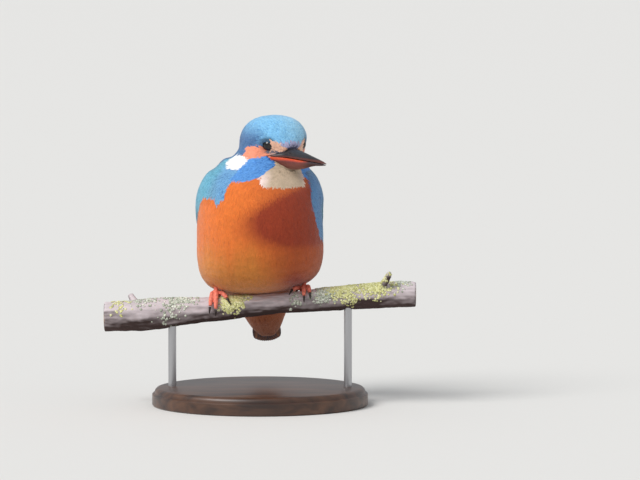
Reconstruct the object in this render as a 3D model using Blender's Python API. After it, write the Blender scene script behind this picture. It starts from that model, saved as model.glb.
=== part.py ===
"""A common kingfisher, a female with a fluffed winter coat, sitting upright on a short cut branch.

The branch is held by two rods over a round base. The bird faces -Y with its head turned to its
own left, towards +X. Design numbers are in millimetres, measured from a point on the branch
under the bird; place() moves them to the model's frame, whose origin is the centre of the
underside of the base.
"""

import math

import bmesh
import bpy
from mathutils import Matrix, Vector

MM = 0.001
GAP = 0.3            # air between two solids that meet
FRAME_SHIFT = Vector((0.0, 2.0, 47.0))   # design point under the bird, in the model's frame

# Branch: along X, height of the axis, radius
BRANCH = (
    (-78.0, -2.9, 7.7),
    (-52.0, -1.8, 8.0),
    (-30.0, 0.3, 6.6),
    (-15.0, 1.5, 5.9),
    (0.0, 2.9, 5.3),
    (20.0, 4.5, 5.3),
    (35.0, 5.9, 6.1),
    (55.0, 7.6, 6.6),
    (78.0, 7.8, 6.3),
)

# Stand
BASE_RADIUS = 54.0
BASE_THICKNESS = 9.0
ROD_RADIUS = 2.0
ROD_X = 44.0
ROD_DEPTH = 4.0      # how far a rod goes into the base and into the branch

# Level slices through the fluffed trunk: height, centre x, front y, back y, half width
TRUNK = (
    (76.5, 0.8, -12.0, 18.5, 19.0),
    (71.5, 0.8, -18.0, 22.0, 23.6),
    (66.0, 0.5, -23.5, 25.0, 27.0),
    (58.0, 0.0, -27.5, 27.5, 29.8),
    (48.0, 0.0, -28.8, 29.5, 31.2),
    (36.0, 0.0, -27.2, 31.5, 31.8),
    (26.0, 0.0, -23.4, 33.0, 31.6),
    (18.0, 0.0, -17.5, 34.0, 29.8),
    (12.5, 0.3, -10.0, 35.4, 25.4),
    (9.4, 0.5, -2.0, 36.4, 19.5),
    (5.0, 1.0, 10.8, 37.4, 15.5),
    (-3.0, 1.8, 19.3, 39.6, 11.5),
    (-6.0, 2.2, 22.5, 37.6, 10.0),
    (-8.0, 2.4, 24.5, 38.2, 9.2),
    (-13.0, 3.0, 31.0, 40.4, 6.6),
    (-16.5, 3.3, 36.0, 41.4, 3.4),
)
# The neck, in the same way
NECK = (
    (88.0, 6.5, -9.0, 10.0, 8.0),
    (84.0, 5.9, -13.0, 13.6, 13.4),
    (77.0, 4.0, -15.5, 17.5, 17.8),
    (71.0, 2.4, -19.3, 21.6, 22.4),
    (62.0, 1.0, -22.0, 24.0, 24.5),
    (54.0, 0.0, -16.0, 18.0, 18.0),
)

# Upright slices through the head: forward of the skull's centre, crown, chin, half width,
# and how much the face narrows from the brow down
HEAD = (
    (-20.0, 3.6, -5.0, 4.8, 0.0),
    (-17.5, 8.8, -11.0, 11.2, 0.0),
    (-12.0, 12.2, -14.0, 15.6, 0.0),
    (-5.0, 13.5, -15.2, 16.8, 0.0),
    (2.0, 13.4, -15.2, 15.7, 0.08),
    (7.0, 12.1, -14.8, 13.2, 0.20),
    (11.0, 9.0, -13.6, 10.2, 0.26),
    (14.5, 4.0, -12.2, 6.8, 0.20),
    (16.8, 0.0, -11.2, 4.2, 0.10),
)
HEAD_CENTRE = Vector((9.0, -3.0, 84.5))
HEAD_TURN = 28.0     # degrees to the bird's left
HEAD_DIP = 2.5       # degrees
BELLY_TILT = 0.08    # the belly's underside follows the branch

# Bill: forward of the skull's centre, half width, depth above and depth below the biting edge
BILL = (
    (9.0, 5.9, 2.4, 2.8),
    (12.5, 5.5, 3.7, 4.1),
    (16.5, 4.6, 4.4, 4.6),
    (22.0, 3.7, 4.0, 4.1),
    (29.0, 2.9, 3.3, 3.2),
    (37.0, 2.1, 2.4, 2.3),
    (44.0, 1.4, 1.65, 1.5),
    (49.0, 0.85, 1.0, 0.9),
    (51.5, 0.4, 0.5, 0.4),
)
BILL_DROOP = 0.6     # how far the tip curves down
GAPE_DROP = 6.0      # from the skull's centre down to the biting edge

# Eye
EYE_RADIUS = 3.1
EYE_FORWARD = 8.0
EYE_SIDE = 8.9
EYE_DROP = 0.8

# Folded wing: height, front edge and back edge in degrees round the trunk from its side, thickness
WING = (
    (70.5, -12.0, 14.0, 1.6),
    (68.5, -34.0, 36.0, 2.6),
    (65.0, -45.0, 50.0, 3.2),
    (61.0, -49.0, 57.0, 3.3),
    (58.0, -45.0, 61.0, 3.3),
    (55.5, -22.0, 63.5, 3.2),
    (53.0, -4.0, 65.0, 3.2),
    (48.0, 7.0, 66.5, 3.2),
    (40.0, 17.0, 69.0, 3.0),
    (30.0, 28.0, 72.0, 2.9),
    (20.0, 39.0, 75.0, 2.5),
    (10.0, 48.0, 77.0, 2.1),
    (2.0, 56.0, 77.0, 1.7),
    (-4.0, 64.0, 74.0, 1.3),
)
WING_BREAK = 27.0    # height at which the coverts end and the flight feathers go on
RUMP_LEVEL = 14.0    # below it the wing leaves the trunk and runs on over the tail
SHOULDER_TURN = 8.0  # degrees that the shoulders follow the head

# Tail
TAIL_LENGTH = 36.5
TAIL_ROOT = Vector((0.6, 31.0, 14.0))
TAIL_LEAN = 21.0     # degrees from straight down, backwards
TAIL_SWING = 4.5     # degrees to the bird's left

# Legs and feet
FOOT_X = 21.6
FOOT_TURN = {"right": 0.0, "left": -24.0}   # how far round the branch each foot has settled
# name, start turn, end turn, sideways shift at the root and at the tip, outwards positive
TOES = (
    ("middle", -8.0, 84.0, 0.2, 0.4),
    ("outer", -8.0, 72.0, 2.0, 3.2),
    ("inner", -4.0, 44.0, -1.5, -5.0),
    ("hind", 6.0, -58.0, -0.4, -1.2),
)
CLAW_TURN = 26.0
TOE_RADIUS = 1.15
TOE_LIFT = TOE_RADIUS + GAP + 0.35   # from the bark to the middle of a toe
PAD_RADIUS = 1.75
LEG_RADIUS = 1.35
LEG_LENGTH = 8.5


def place(point):
    """A design point in the model's frame, in metres."""
    return (Vector(point) + FRAME_SHIFT) * MM


def clear_scene():
    for old in list(bpy.data.objects):
        bpy.data.objects.remove(old)


def material(name, colour, roughness=0.6, metallic=0.0):
    made = bpy.data.materials.new(name)
    made.use_nodes = True
    shader = made.node_tree.nodes["Principled BSDF"]
    shader.inputs["Base Color"].default_value = (*colour, 1.0)
    shader.inputs["Roughness"].default_value = roughness
    shader.inputs["Metallic"].default_value = metallic
    made.diffuse_color = (*colour, 1.0)
    return made


def add_object(name, mesh, finish, helper=False):
    obj = bpy.data.objects.new(name, mesh)
    bpy.context.scene.collection.objects.link(obj)
    if finish:
        mesh.materials.clear()
        mesh.materials.append(finish)
    if helper:
        obj.hide_render = True
        obj.display_type = "WIRE"
    return obj


def loft_mesh(name, rings):
    """A closed mesh through rings of design points, each end closed by a fan."""
    shape = bmesh.new()
    rows = [[shape.verts.new(place(point)) for point in ring] for ring in rings]
    count = len(rows[0])
    for near, far in zip(rows, rows[1:]):
        for i in range(count):
            j = (i + 1) % count
            shape.faces.new((near[i], near[j], far[j]))
            shape.faces.new((near[i], far[j], far[i]))
    for row in (rows[0], rows[-1]):
        middle = shape.verts.new(sum((v.co for v in row), Vector()) / count)
        for i in range(count):
            shape.faces.new((row[(i + 1) % count], row[i], middle))
    bmesh.ops.recalc_face_normals(shape, faces=shape.faces)
    mesh = bpy.data.meshes.new(name)
    shape.to_mesh(mesh)
    shape.free()
    mesh.shade_smooth()
    return mesh


def between(table, at):
    """A row of a table read at a value of its first column, on a smooth curve through the rows."""
    rising = table[0][0] < table[-1][0]
    rows = table if rising else table[::-1]
    at = min(max(at, rows[0][0]), rows[-1][0])
    k = max(i for i in range(len(rows) - 1) if rows[i][0] <= at)
    before, after = rows[max(k - 1, 0)], rows[min(k + 2, len(rows) - 1)]
    low, high = rows[k], rows[k + 1]
    span = high[0] - low[0]
    t = (at - low[0]) / span
    found = []
    for c in range(1, len(low)):
        rise_low = (high[c] - before[c]) / (high[0] - before[0]) * span
        rise_high = (after[c] - low[c]) / (after[0] - low[0]) * span
        found.append(
            (2 * t**3 - 3 * t**2 + 1) * low[c]
            + (t**3 - 2 * t**2 + t) * rise_low
            + (3 * t**2 - 2 * t**3) * high[c]
            + (t**3 - t**2) * rise_high
        )
    return found


def spread(start, end, count):
    return [start + (end - start) * i / max(count - 1, 1) for i in range(count)]


def power(value, exponent):
    """A signed power, which squares off or sharpens an ellipse."""
    return math.copysign(abs(value) ** exponent, value)


def oval(count, squareness=1.0):
    """Points (cos, sin) round a unit oval. Under 1, squareness makes it boxier."""
    turns = [2 * math.pi * i / count for i in range(count)]
    return [(power(math.cos(a), squareness), power(math.sin(a), squareness)) for a in turns]


def evaluated_mesh(obj, name):
    """The object's mesh with its modifiers applied; the object is then removed."""
    graph = bpy.context.evaluated_depsgraph_get()
    mesh = bpy.data.meshes.new_from_object(obj.evaluated_get(graph), depsgraph=graph)
    mesh.name = name
    bpy.data.objects.remove(obj)
    return mesh


def cut(obj, cutter):
    """Takes the cutter out of the object."""
    boolean = obj.modifiers.new("cut " + cutter.name, "BOOLEAN")
    boolean.operation = "DIFFERENCE"
    boolean.object = cutter


def unite(obj, others):
    for other in others:
        boolean = obj.modifiers.new("join " + other.name, "BOOLEAN")
        boolean.operation = "UNION"
        boolean.object = other


# ---------------------------------------------------------------- branch and stand

def branch_axis(x):
    return between(BRANCH, x)[0]


def branch_radius(x):
    return between(BRANCH, x)[1]


def branch_ring(x, sides=11):
    """A ring of bark, uneven except where the feet grip it."""
    calm = min(abs(abs(x) - FOOT_X) / 9.0, 1.0)
    ring = []
    for i in range(sides):
        turn = 2 * math.pi * i / sides
        ripple = 0.35 * math.sin(3 * turn + x / 9.0) + 0.25 * math.sin(5 * turn - x / 6.0)
        radius = branch_radius(x) + calm * (ripple - 0.25)
        ring.append((x, radius * math.sin(turn), branch_axis(x) + radius * math.cos(turn)))
    return ring


def spur(name, x, turn, lean, length, radius):
    """A short broken side twig, as a helper that joins the branch."""
    outward = Vector((lean, math.sin(turn), math.cos(turn))).normalized()
    across = outward.cross(Vector((1, 0, 0))).normalized()
    along = outward.cross(across)
    foot = Vector((x, 0.0, branch_axis(x))) + outward * (branch_radius(x) - 2.5)
    rings = []
    for t, width in ((0.0, 1.35), (0.3, 1.0), (0.7, 0.85), (1.0, 0.7)):
        middle = foot + outward * (2.5 + length) * t + along * 0.8 * t * t
        rings.append([middle + (across * c + along * s) * radius * width for c, s in oval(8)])
    return add_object(name, loft_mesh(name, rings), None, helper=True)


def rod_height(x):
    """Where a rod under the branch ends, inside its hole."""
    return branch_axis(x) - branch_radius(x) + ROD_DEPTH


def cylinder(name, x, low, high, radius, finish, helper=False, sides=20):
    rings = [[(x + radius * c, radius * s, z) for c, s in oval(sides)] for z in (low, high)]
    return add_object(name, loft_mesh(name, rings), finish, helper)


def make_branch(bark):
    rings = [branch_ring(x) for x in spread(BRANCH[0][0], BRANCH[-1][0], 17)]
    branch = add_object("perch", loft_mesh("perch", rings), bark)
    unite(branch, [
        spur("spur_a", 58.0, -0.6, 0.55, 9.0, 1.9),
        spur("spur_b", -60.0, 0.75, -0.35, 6.0, 2.2),
        spur("spur_c", 38.0, 2.2, 0.9, 4.0, 1.6),
    ])
    return branch


def make_stand(branch, wood, steel):
    top = -FRAME_SHIFT.z + BASE_THICKNESS
    bevel = 1.2
    profile = (
        (BASE_RADIUS - 0.6, 0.0), (BASE_RADIUS, 0.6), (BASE_RADIUS, BASE_THICKNESS - 3.2),
        (BASE_RADIUS - 1.2, BASE_THICKNESS - 2.6), (BASE_RADIUS - 1.6, BASE_THICKNESS - bevel),
        (BASE_RADIUS - 2.6, BASE_THICKNESS - 0.2), (BASE_RADIUS - 3.8, BASE_THICKNESS),
    )
    rings = [
        [(r * c, r * s - FRAME_SHIFT.y, z - FRAME_SHIFT.z) for c, s in oval(36)] for r, z in profile
    ]
    base = add_object("stand_base", loft_mesh("stand_base", rings), wood)
    for side, x in (("right", -ROD_X), ("left", ROD_X)):
        low, high = top - ROD_DEPTH, rod_height(x)
        cylinder("stand_rod_" + side, x, low, high, ROD_RADIUS, steel)
        hole = cylinder(
            "rod_hole_" + side, x, low - GAP, high + GAP, ROD_RADIUS + GAP, None, helper=True
        )
        cut(base, hole)
        cut(branch, hole)


# ---------------------------------------------------------------- head, neck and trunk

def level_rings(table, count, sides=36, squareness=0.92):
    rings = []
    for height in spread(table[0][0], table[-1][0], count):
        middle, front, back, half_width = between(table, height)
        tilt = BELLY_TILT * min(max((30.0 - height) / 20.0, 0.0), 1.0)
        rings.append([
            (
                middle + half_width * c,
                (front + back) / 2 + (back - front) / 2 * s,
                height + tilt * half_width * c,
            )
            for c, s in oval(sides, squareness)
        ])
    return rings


def head_axes():
    """Forward, left and up of the turned head."""
    turn = Matrix.Rotation(math.radians(HEAD_TURN), 3, "Z")
    dip = Matrix.Rotation(math.radians(HEAD_DIP), 3, "X")
    turned = turn @ dip
    return turned @ Vector((0, -1, 0)), turned @ Vector((1, 0, 0)), turned @ Vector((0, 0, 1))


def in_head(forward, left, up):
    ahead, aside, above = head_axes()
    return HEAD_CENTRE + ahead * forward + aside * left + above * up


def head_rings(count=22, sides=28):
    rings = []
    for forward in spread(HEAD[0][0], HEAD[-1][0], count):
        crown, chin, half_width, pinch = between(HEAD, forward)
        ring = []
        for c, s in oval(sides, 0.88):
            up = (crown + chin) / 2 + (crown - chin) / 2 * s
            below_brow = min(max((3.0 - up) / 6.0, 0.0), 1.0)
            ring.append(in_head(forward, half_width * c * (1.0 - pinch * below_brow), up))
        rings.append(ring)
    return rings


def whole_body():
    """Head, neck and trunk melted into one smooth closed mesh."""
    together = bmesh.new()
    for name, rings in (
        ("trunk", level_rings(TRUNK, 46)), ("neck", level_rings(NECK, 16)), ("head", head_rings()),
    ):
        together.from_mesh(loft_mesh(name, rings))
    mesh = bpy.data.meshes.new("whole")
    together.to_mesh(mesh)
    together.free()
    whole = add_object("whole", mesh, None)
    remesh = whole.modifiers.new("melt", "REMESH")
    remesh.mode = "VOXEL"
    remesh.voxel_size = 1.1 * MM
    soften = whole.modifiers.new("soften", "SMOOTH")
    soften.factor = 0.6
    soften.iterations = 7
    thin = whole.modifiers.new("thin", "DECIMATE")
    thin.ratio = 0.029
    return evaluated_mesh(whole, "whole")


def slice_of(mesh, name, finish, planes):
    """The part of a closed mesh behind each plane, given as (point, outward normal), capped flat."""
    shape = bmesh.new()
    shape.from_mesh(mesh)
    for point, normal in planes:
        everything = shape.verts[:] + shape.edges[:] + shape.faces[:]
        bmesh.ops.bisect_plane(
            shape, geom=everything, plane_co=place(point), plane_no=normal, clear_outer=True
        )
        rim = [edge for edge in shape.edges if edge.is_boundary]
        bmesh.ops.contextual_create(shape, geom=rim)
    bmesh.ops.triangulate(shape, faces=[f for f in shape.faces if len(f.verts) > 4])
    bmesh.ops.recalc_face_normals(shape, faces=shape.faces)
    part = bpy.data.meshes.new(name)
    shape.to_mesh(part)
    shape.free()
    part.shade_smooth()
    return add_object(name, part, finish)


def make_flesh(blue, white, orange):
    """The head, the neck and the trunk, parted by two thin cuts."""
    whole = whole_body()
    ahead, _, above = head_axes()
    head_cut = (above * 0.93 + ahead * -0.12).normalized()
    neck_cut = Vector((0.0, 0.10, 1.0)).normalized()
    under_head = HEAD_CENTRE - above * 11.0
    under_neck = Vector((0.0, 0.0, 65.0))
    head = slice_of(whole, "head", blue, [(under_head + head_cut * GAP, -head_cut)])
    neck = slice_of(whole, "neck", white, [
        (under_head, head_cut), (under_neck + neck_cut * GAP, -neck_cut),
    ])
    trunk = slice_of(whole, "trunk", orange, [(under_neck, neck_cut)])
    return head, neck, trunk


# ---------------------------------------------------------------- bill and eyes

def mandible_rings(grow=0.0, lower=False):
    """Rings along one half of the bill: a ridge over a flat biting edge."""
    _, aside, above = head_axes()
    sign = -1.0 if lower else 1.0
    start, end = BILL[0][0], BILL[-1][0] - (0.9 if lower else 0.0)
    rings = []
    for t in spread(0.0, 1.0, 12):
        forward = start + (end - start) * t
        half_width, upper, under = between(BILL, forward)
        half_width += grow
        height = (under if lower else upper) - GAP / 2 + 2.0 * grow
        edge = sign * (GAP / 2 - grow) - BILL_DROOP * t * t
        centre = in_head(forward + grow * (2.0 * t - 1.0), 0.0, edge - GAPE_DROP)
        arc = [
            centre + aside * half_width * power(math.cos(a), 0.85)
            + above * sign * height * math.sin(a) ** 1.15
            for a in spread(0.0, math.pi, 9)
        ]
        rings.append(arc + [centre + aside * half_width * w for w in (-0.5, 0.0, 0.5)])
    return rings


def make_bill(head, neck, horn_dark, horn_red):
    for name, finish, lower in (("bill_upper", horn_dark, False), ("bill_lower", horn_red, True)):
        add_object(name, loft_mesh(name, mandible_rings(lower=lower)), finish)
        hollow = loft_mesh(name + "_hollow", mandible_rings(GAP, lower))
        cutter = add_object(name + "_hollow", hollow, None, helper=True)
        cut(head, cutter)
        cut(neck, cutter)


def ball(name, centre, radius, finish, helper=False, segments=14):
    shape = bmesh.new()
    bmesh.ops.create_uvsphere(
        shape, u_segments=segments, v_segments=segments * 5 // 8, radius=radius * MM
    )
    bmesh.ops.translate(shape, verts=shape.verts, vec=place(centre))
    mesh = bpy.data.meshes.new(name)
    shape.to_mesh(mesh)
    shape.free()
    mesh.shade_smooth()
    return add_object(name, mesh, finish, helper)


def make_eyes(head, dark):
    for side, sign in (("right", -1.0), ("left", 1.0)):
        centre = in_head(EYE_FORWARD, sign * EYE_SIDE, -EYE_DROP)
        ball("eye_" + side, centre, EYE_RADIUS, dark)
        cut(head, ball("socket_" + side, centre, EYE_RADIUS + GAP, None, helper=True))


# ---------------------------------------------------------------- wings and tail

def wing_point(height, turn, lift, sign):
    """A point over the trunk's side; lift is the distance out from the trunk's own surface."""
    middle, front, back, half_width = between(TRUNK, max(height, RUMP_LEVEL))
    drift = 0.42 * max(RUMP_LEVEL - height, 0.0)
    shrink = 1.0 - 0.012 * max(RUMP_LEVEL - height, 0.0)
    across = (half_width + lift) * math.cos(turn) * shrink
    along = ((back - front) / 2 + lift) * math.sin(turn)
    return (middle * 0.5 + sign * across, (front + back) / 2 + along + drift, height)


def wing_rings(heights, sign, grow=0.0, columns=8):
    """Rings across the folded wing at each height; its edges thin out."""
    rings = []
    for height in heights:
        first, last, thickness = between(WING, height)
        widen = math.degrees(grow / 28.0)
        follow = SHOULDER_TURN * sign * min(max((height - 40.0) / 20.0, 0.0), 1.0)
        first, last = first + follow, last + follow
        cross = [1.0 - abs(w) ** 3 for w in spread(-1.0, 1.0, columns)]
        inner, outer = [], []
        for turn, full in zip(spread(first - widen, last + widen, columns), cross):
            half = 0.25 + (thickness / 2 - 0.25) * (0.25 + 0.75 * full) + grow
            inner.append(wing_point(height, math.radians(turn), 0.6 - half, sign))
            outer.append(wing_point(height, math.radians(turn), 0.6 + half, sign))
        rings.append(inner + outer[::-1])
    return rings


def make_wings(bodies, teal, dark_blue):
    top, low = WING[0][0], WING[-1][0]
    coverts = spread(top, WING_BREAK + GAP, 13)
    flight = spread(WING_BREAK, low, 8)
    for side, sign in (("right", -1.0), ("left", 1.0)):
        add_object("wing_" + side, loft_mesh("wing", wing_rings(coverts, sign)), teal)
        add_object("primaries_" + side, loft_mesh("primaries", wing_rings(flight, sign)), dark_blue)
        bed = wing_rings([top + GAP] + coverts + flight + [low - GAP], sign, 1.2 * GAP)
        cutter = add_object("wing_bed_" + side, loft_mesh("wing_bed", bed), None, helper=True)
        for body in bodies:
            cut(body, cutter)


def tail_axes():
    lean, swing = math.radians(TAIL_LEAN), math.radians(TAIL_SWING)
    down = Vector((math.sin(swing) * math.cos(lean), math.sin(lean), -math.cos(lean))).normalized()
    aside = Vector((1.0, 0.0, math.tan(swing))).normalized()
    return down, aside, aside.cross(down).normalized()


def tail_rings(grow=0.0, columns=9):
    """Rings down the closed tail: a thin plate, arched across, wider towards its rounded end."""
    down, aside, outward = tail_axes()
    rings = []
    for t in (0.0, 0.2, 0.45, 0.7, 0.86, 0.95, 1.0):
        rounding = 1.0 if t <= 0.7 else math.sqrt(max(1.0 - ((t - 0.7) / 0.35) ** 2, 0.0))
        half_width = (5.2 + 3.2 * t) * rounding + grow
        half_thick = 1.1 - 0.6 * t + grow
        lift = (-grow if t == 0.0 else grow if t == 1.0 else 0.0)
        middle = TAIL_ROOT + down * (TAIL_LENGTH * t + lift)
        upper, lower = [], []
        for w in spread(-1.0, 1.0, columns):
            arch = outward * -1.3 * w * w
            edge = 1.0 - 0.55 * abs(w) ** 3
            upper.append(middle + aside * half_width * w + arch + outward * half_thick * edge)
            lower.append(middle + aside * half_width * w + arch - outward * half_thick * edge)
        rings.append(upper + lower[::-1])
    return rings


def make_tail(trunk, dark_blue):
    add_object("tail", loft_mesh("tail", tail_rings()), dark_blue)
    cut(trunk, add_object("tail_bed", loft_mesh("tail_bed", tail_rings(GAP)), None, helper=True))


# ---------------------------------------------------------------- legs and feet

def tube_rings(points, radii, sides=7):
    """Rings round a path of design points, square to it."""
    rings = []
    for i, point in enumerate(points):
        ahead = (points[min(i + 1, len(points) - 1)] - points[max(i - 1, 0)]).normalized()
        across = ahead.cross(Vector((1.0, 0.02, 0.0))).normalized()
        side = ahead.cross(across)
        rings.append([point + (across * c + side * s) * radii[i] for c, s in oval(sides)])
    return rings


def on_branch(x, turn, lift):
    """A point off the bark: turn runs from the top of the branch towards the front, in degrees."""
    reach = branch_radius(x) + lift
    angle = math.radians(turn)
    return Vector((x, -reach * math.sin(angle), branch_axis(x) + reach * math.cos(angle)))




def toe_path(sign, toe, reach_from, reach_to, lift, count):
    _, start, end, root_shift, tip_shift = toe
    settled = FOOT_TURN["left" if sign > 0 else "right"]
    points = []
    for t in spread(reach_from, reach_to, count):
        shift = root_shift + (tip_shift - root_shift) * t
        turn = settled + start + (end - start) * t
        points.append(on_branch(sign * (FOOT_X + shift), turn, lift))
    return points


def toe_mesh(sign, toe, grow=0.0):
    """A toe with its joints swelling a little; grow makes the larger hollow that clears it."""
    path = toe_path(sign, toe, 0.0, 1.0, TOE_LIFT, 8)
    shares = spread(0.0, 1.0, 8)
    radii = [TOE_RADIUS * (1.0 - 0.22 * t + 0.07 * math.cos(6.0 * math.pi * t)) for t in shares]
    radii[0], radii[-1] = 0.75 * TOE_RADIUS, 0.62 * TOE_RADIUS
    return loft_mesh("toe", tube_rings(path, [r + grow for r in radii]))


def claw_mesh(sign, toe):
    """A claw that carries on from its toe and curves down to the bark."""
    sweep = abs(toe[2] - toe[1])
    start = 1.0 + 4.0 / sweep
    shares = spread(0.0, 1.0, 6)
    path = [
        toe_path(sign, toe, u, u, TOE_LIFT + 0.15 - 0.75 * t**2, 1)[0]
        for t, u in zip(shares, spread(start, start + CLAW_TURN / sweep, 6))
    ]
    return loft_mesh("claw", tube_rings(path, [0.62 * (1.0 - t) ** 0.7 + 0.16 for t in shares], 7))


def make_foot(side, sign, trunk, coral, claw_horn):
    pad_at = on_branch(sign * (FOOT_X + 0.6), FOOT_TURN[side], TOE_LIFT + 0.15)
    foot = add_object("foot_" + side, toe_mesh(sign, TOES[0]), coral)
    helpers = [ball("pad_" + side, pad_at, PAD_RADIUS, None, helper=True, segments=10)]
    for toe in TOES:
        add_object(f"claw_{side}_{toe[0]}", claw_mesh(sign, toe), claw_horn)
        bed = toe_mesh(sign, toe, GAP)
        cut(trunk, add_object(f"toe_bed_{side}_{toe[0]}", bed, None, helper=True))
    for toe in TOES[1:]:
        mesh = toe_mesh(sign, toe)
        helpers.append(add_object(f"toe_{side}_{toe[0]}", mesh, None, helper=True))
    unite(foot, helpers)
    cut(trunk, ball("pad_bed_" + side, pad_at, PAD_RADIUS + 1.5 * GAP, None, helper=True, segments=10))

    knee = pad_at + Vector((-sign * 0.8, 1.6, LEG_LENGTH + 1.4))
    ankle = pad_at + (knee - pad_at).normalized() * (PAD_RADIUS + GAP)
    path = [ankle + (knee - ankle) * t for t in spread(0.0, 1.0, 5)]
    radii = [LEG_RADIUS * r for r in (0.85, 0.9, 0.95, 1.1, 1.25)]
    add_object("leg_" + side, loft_mesh("leg", tube_rings(path, radii, 10)), coral)
    step = (knee - ankle).normalized() * GAP
    path[0], path[-1] = path[0] - step, path[-1] + step
    bed = loft_mesh("leg_bed", tube_rings(path, [r + GAP for r in radii], 10))
    cut(trunk, add_object("leg_bed_" + side, bed, None, helper=True))


def main():
    clear_scene()
    blue = material("crown_blue", (0.08, 0.36, 0.62), 0.5)
    white = material("throat_white", (0.86, 0.80, 0.70), 0.7)
    orange = material("breast_orange", (0.78, 0.24, 0.05), 0.75)
    teal = material("wing_teal", (0.03, 0.25, 0.30), 0.5)
    dark_blue = material("flight_blue", (0.02, 0.07, 0.12), 0.45)
    horn_dark = material("bill_black", (0.02, 0.02, 0.022), 0.35)
    horn_red = material("bill_red", (0.65, 0.10, 0.03), 0.4)
    eye_dark = material("eye_dark", (0.01, 0.006, 0.005), 0.05)
    coral = material("leg_coral", (0.80, 0.12, 0.05), 0.5)
    claw_horn = material("claw_horn", (0.05, 0.03, 0.03), 0.4)
    bark = material("bark", (0.18, 0.13, 0.12), 0.9)
    wood = material("base_wood", (0.09, 0.05, 0.03), 0.4)
    steel = material("rod_steel", (0.55, 0.55, 0.55), 0.3, 1.0)

    branch = make_branch(bark)
    make_stand(branch, wood, steel)
    head, neck, trunk = make_flesh(blue, white, orange)
    make_bill(head, neck, horn_dark, horn_red)
    make_eyes(head, eye_dark)
    make_wings([trunk, neck], teal, dark_blue)
    make_tail(trunk, dark_blue)
    for side, sign in (("right", -1.0), ("left", 1.0)):
        make_foot(side, sign, trunk, coral, claw_horn)


main()
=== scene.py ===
# A kingfisher on a cut branch: skin, plumage, bill, eyes, feet, bark and stand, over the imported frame.
# Lengths are metres. Most sizes are written as millimetres times mm.
import math

import bpy
import numpy as np
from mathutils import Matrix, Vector, noise
from mathutils.bvhtree import BVHTree
from mathutils.kdtree import KDTree


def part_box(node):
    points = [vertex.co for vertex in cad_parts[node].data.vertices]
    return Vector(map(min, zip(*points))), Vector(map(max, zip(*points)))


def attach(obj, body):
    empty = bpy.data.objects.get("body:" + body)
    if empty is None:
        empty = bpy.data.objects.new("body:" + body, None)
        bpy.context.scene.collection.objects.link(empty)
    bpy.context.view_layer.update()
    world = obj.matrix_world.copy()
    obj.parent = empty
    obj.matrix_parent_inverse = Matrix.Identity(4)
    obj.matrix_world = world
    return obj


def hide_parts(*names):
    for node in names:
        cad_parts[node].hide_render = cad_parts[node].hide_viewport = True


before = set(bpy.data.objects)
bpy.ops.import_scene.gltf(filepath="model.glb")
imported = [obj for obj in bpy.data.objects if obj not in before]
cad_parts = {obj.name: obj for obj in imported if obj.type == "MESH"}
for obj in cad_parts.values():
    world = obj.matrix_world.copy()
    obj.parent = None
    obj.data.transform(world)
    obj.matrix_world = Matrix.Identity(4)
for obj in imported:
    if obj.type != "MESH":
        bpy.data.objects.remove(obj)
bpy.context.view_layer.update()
mm = 0.001
dice = np.random.default_rng(11)
scene = bpy.context.scene
sides = ("right", "left")


def hexToLinear(text):
    parts = [int(text[i:i + 2], 16) / 255 for i in (1, 3, 5)]
    return np.array([p / 12.92 if p <= 0.04045 else ((p + 0.055) / 1.055) ** 2.4 for p in parts])


def smoothStep(low, high, value):
    t = np.clip((value - low) / (high - low), 0.0, 1.0)
    return t * t * (3.0 - 2.0 * t)


def mixed(first, second, share):
    return first * (1 - share) + second * share


def unit(vectors):
    return vectors / np.maximum(np.linalg.norm(vectors, axis=-1, keepdims=True), 1e-12)


def only(piece):
    bpy.ops.object.select_all(action="DESELECT")
    piece.select_set(True)
    bpy.context.view_layer.objects.active = piece


def applyModifier(piece, kind, **settings):
    only(piece)
    modifier = piece.modifiers.new(kind.lower(), kind)
    for name, value in settings.items():
        setattr(modifier, name, value)
    bpy.ops.object.modifier_apply(modifier=modifier.name)


def inEditMode(piece, step):
    only(piece)
    bpy.ops.object.mode_set(mode="EDIT")
    bpy.ops.mesh.select_all(action="SELECT")
    step()
    bpy.ops.object.mode_set(mode="OBJECT")


def newObject(name, data):
    piece = bpy.data.objects.new(name, data)
    scene.collection.objects.link(piece)
    return piece


def addPrimitive(operator, **settings):
    bpy.ops.object.select_all(action="DESELECT")
    operator(**settings)
    bpy.ops.object.transform_apply(location=True, rotation=True, scale=True)
    return bpy.context.object


def nodeCopy(nodeName):
    piece = newObject(nodeName + "Copy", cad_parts[nodeName].data.copy())
    inEditMode(piece, lambda: bpy.ops.mesh.remove_doubles(threshold=0.002 * mm))
    return piece


def joined(pieces):
    only(pieces[0])
    for piece in pieces:
        piece.select_set(True)
    bpy.ops.object.join()
    return pieces[0]


def readThrees(items, key, kind=float):
    values = np.empty(len(items) * 3, kind)
    items.foreach_get(key, values)
    return values.reshape(-1, 3)


def pointsOf(piece):
    return readThrees(piece.data.vertices, "co")


def normalsOf(piece):
    return readThrees(piece.data.vertex_normals, "vector")


def trianglesOf(piece):
    piece.data.calc_loop_triangles()
    return readThrees(piece.data.loop_triangles, "vertices", np.int32)


def treeOf(piece):
    return BVHTree.FromPolygons(pointsOf(piece).tolist(), trianglesOf(piece).tolist())


def setPoints(piece, points):
    piece.data.vertices.foreach_set("co", np.asarray(points, np.float32).ravel())
    piece.data.update()


def paint(piece, colours):
    layer = piece.data.color_attributes.new("coat", "FLOAT_COLOR", "POINT")
    layer.data.foreach_set("color", np.c_[colours, np.ones(len(colours))].astype(np.float32).ravel())


def finished(piece, name, slotName, material, *replaced):
    piece.name = name
    piece.data.name = name
    piece.data.materials.clear()
    piece.data.materials.append(material)
    piece.data.shade_smooth()
    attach(piece, "root")
    if replaced:
        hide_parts(*replaced)


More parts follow.
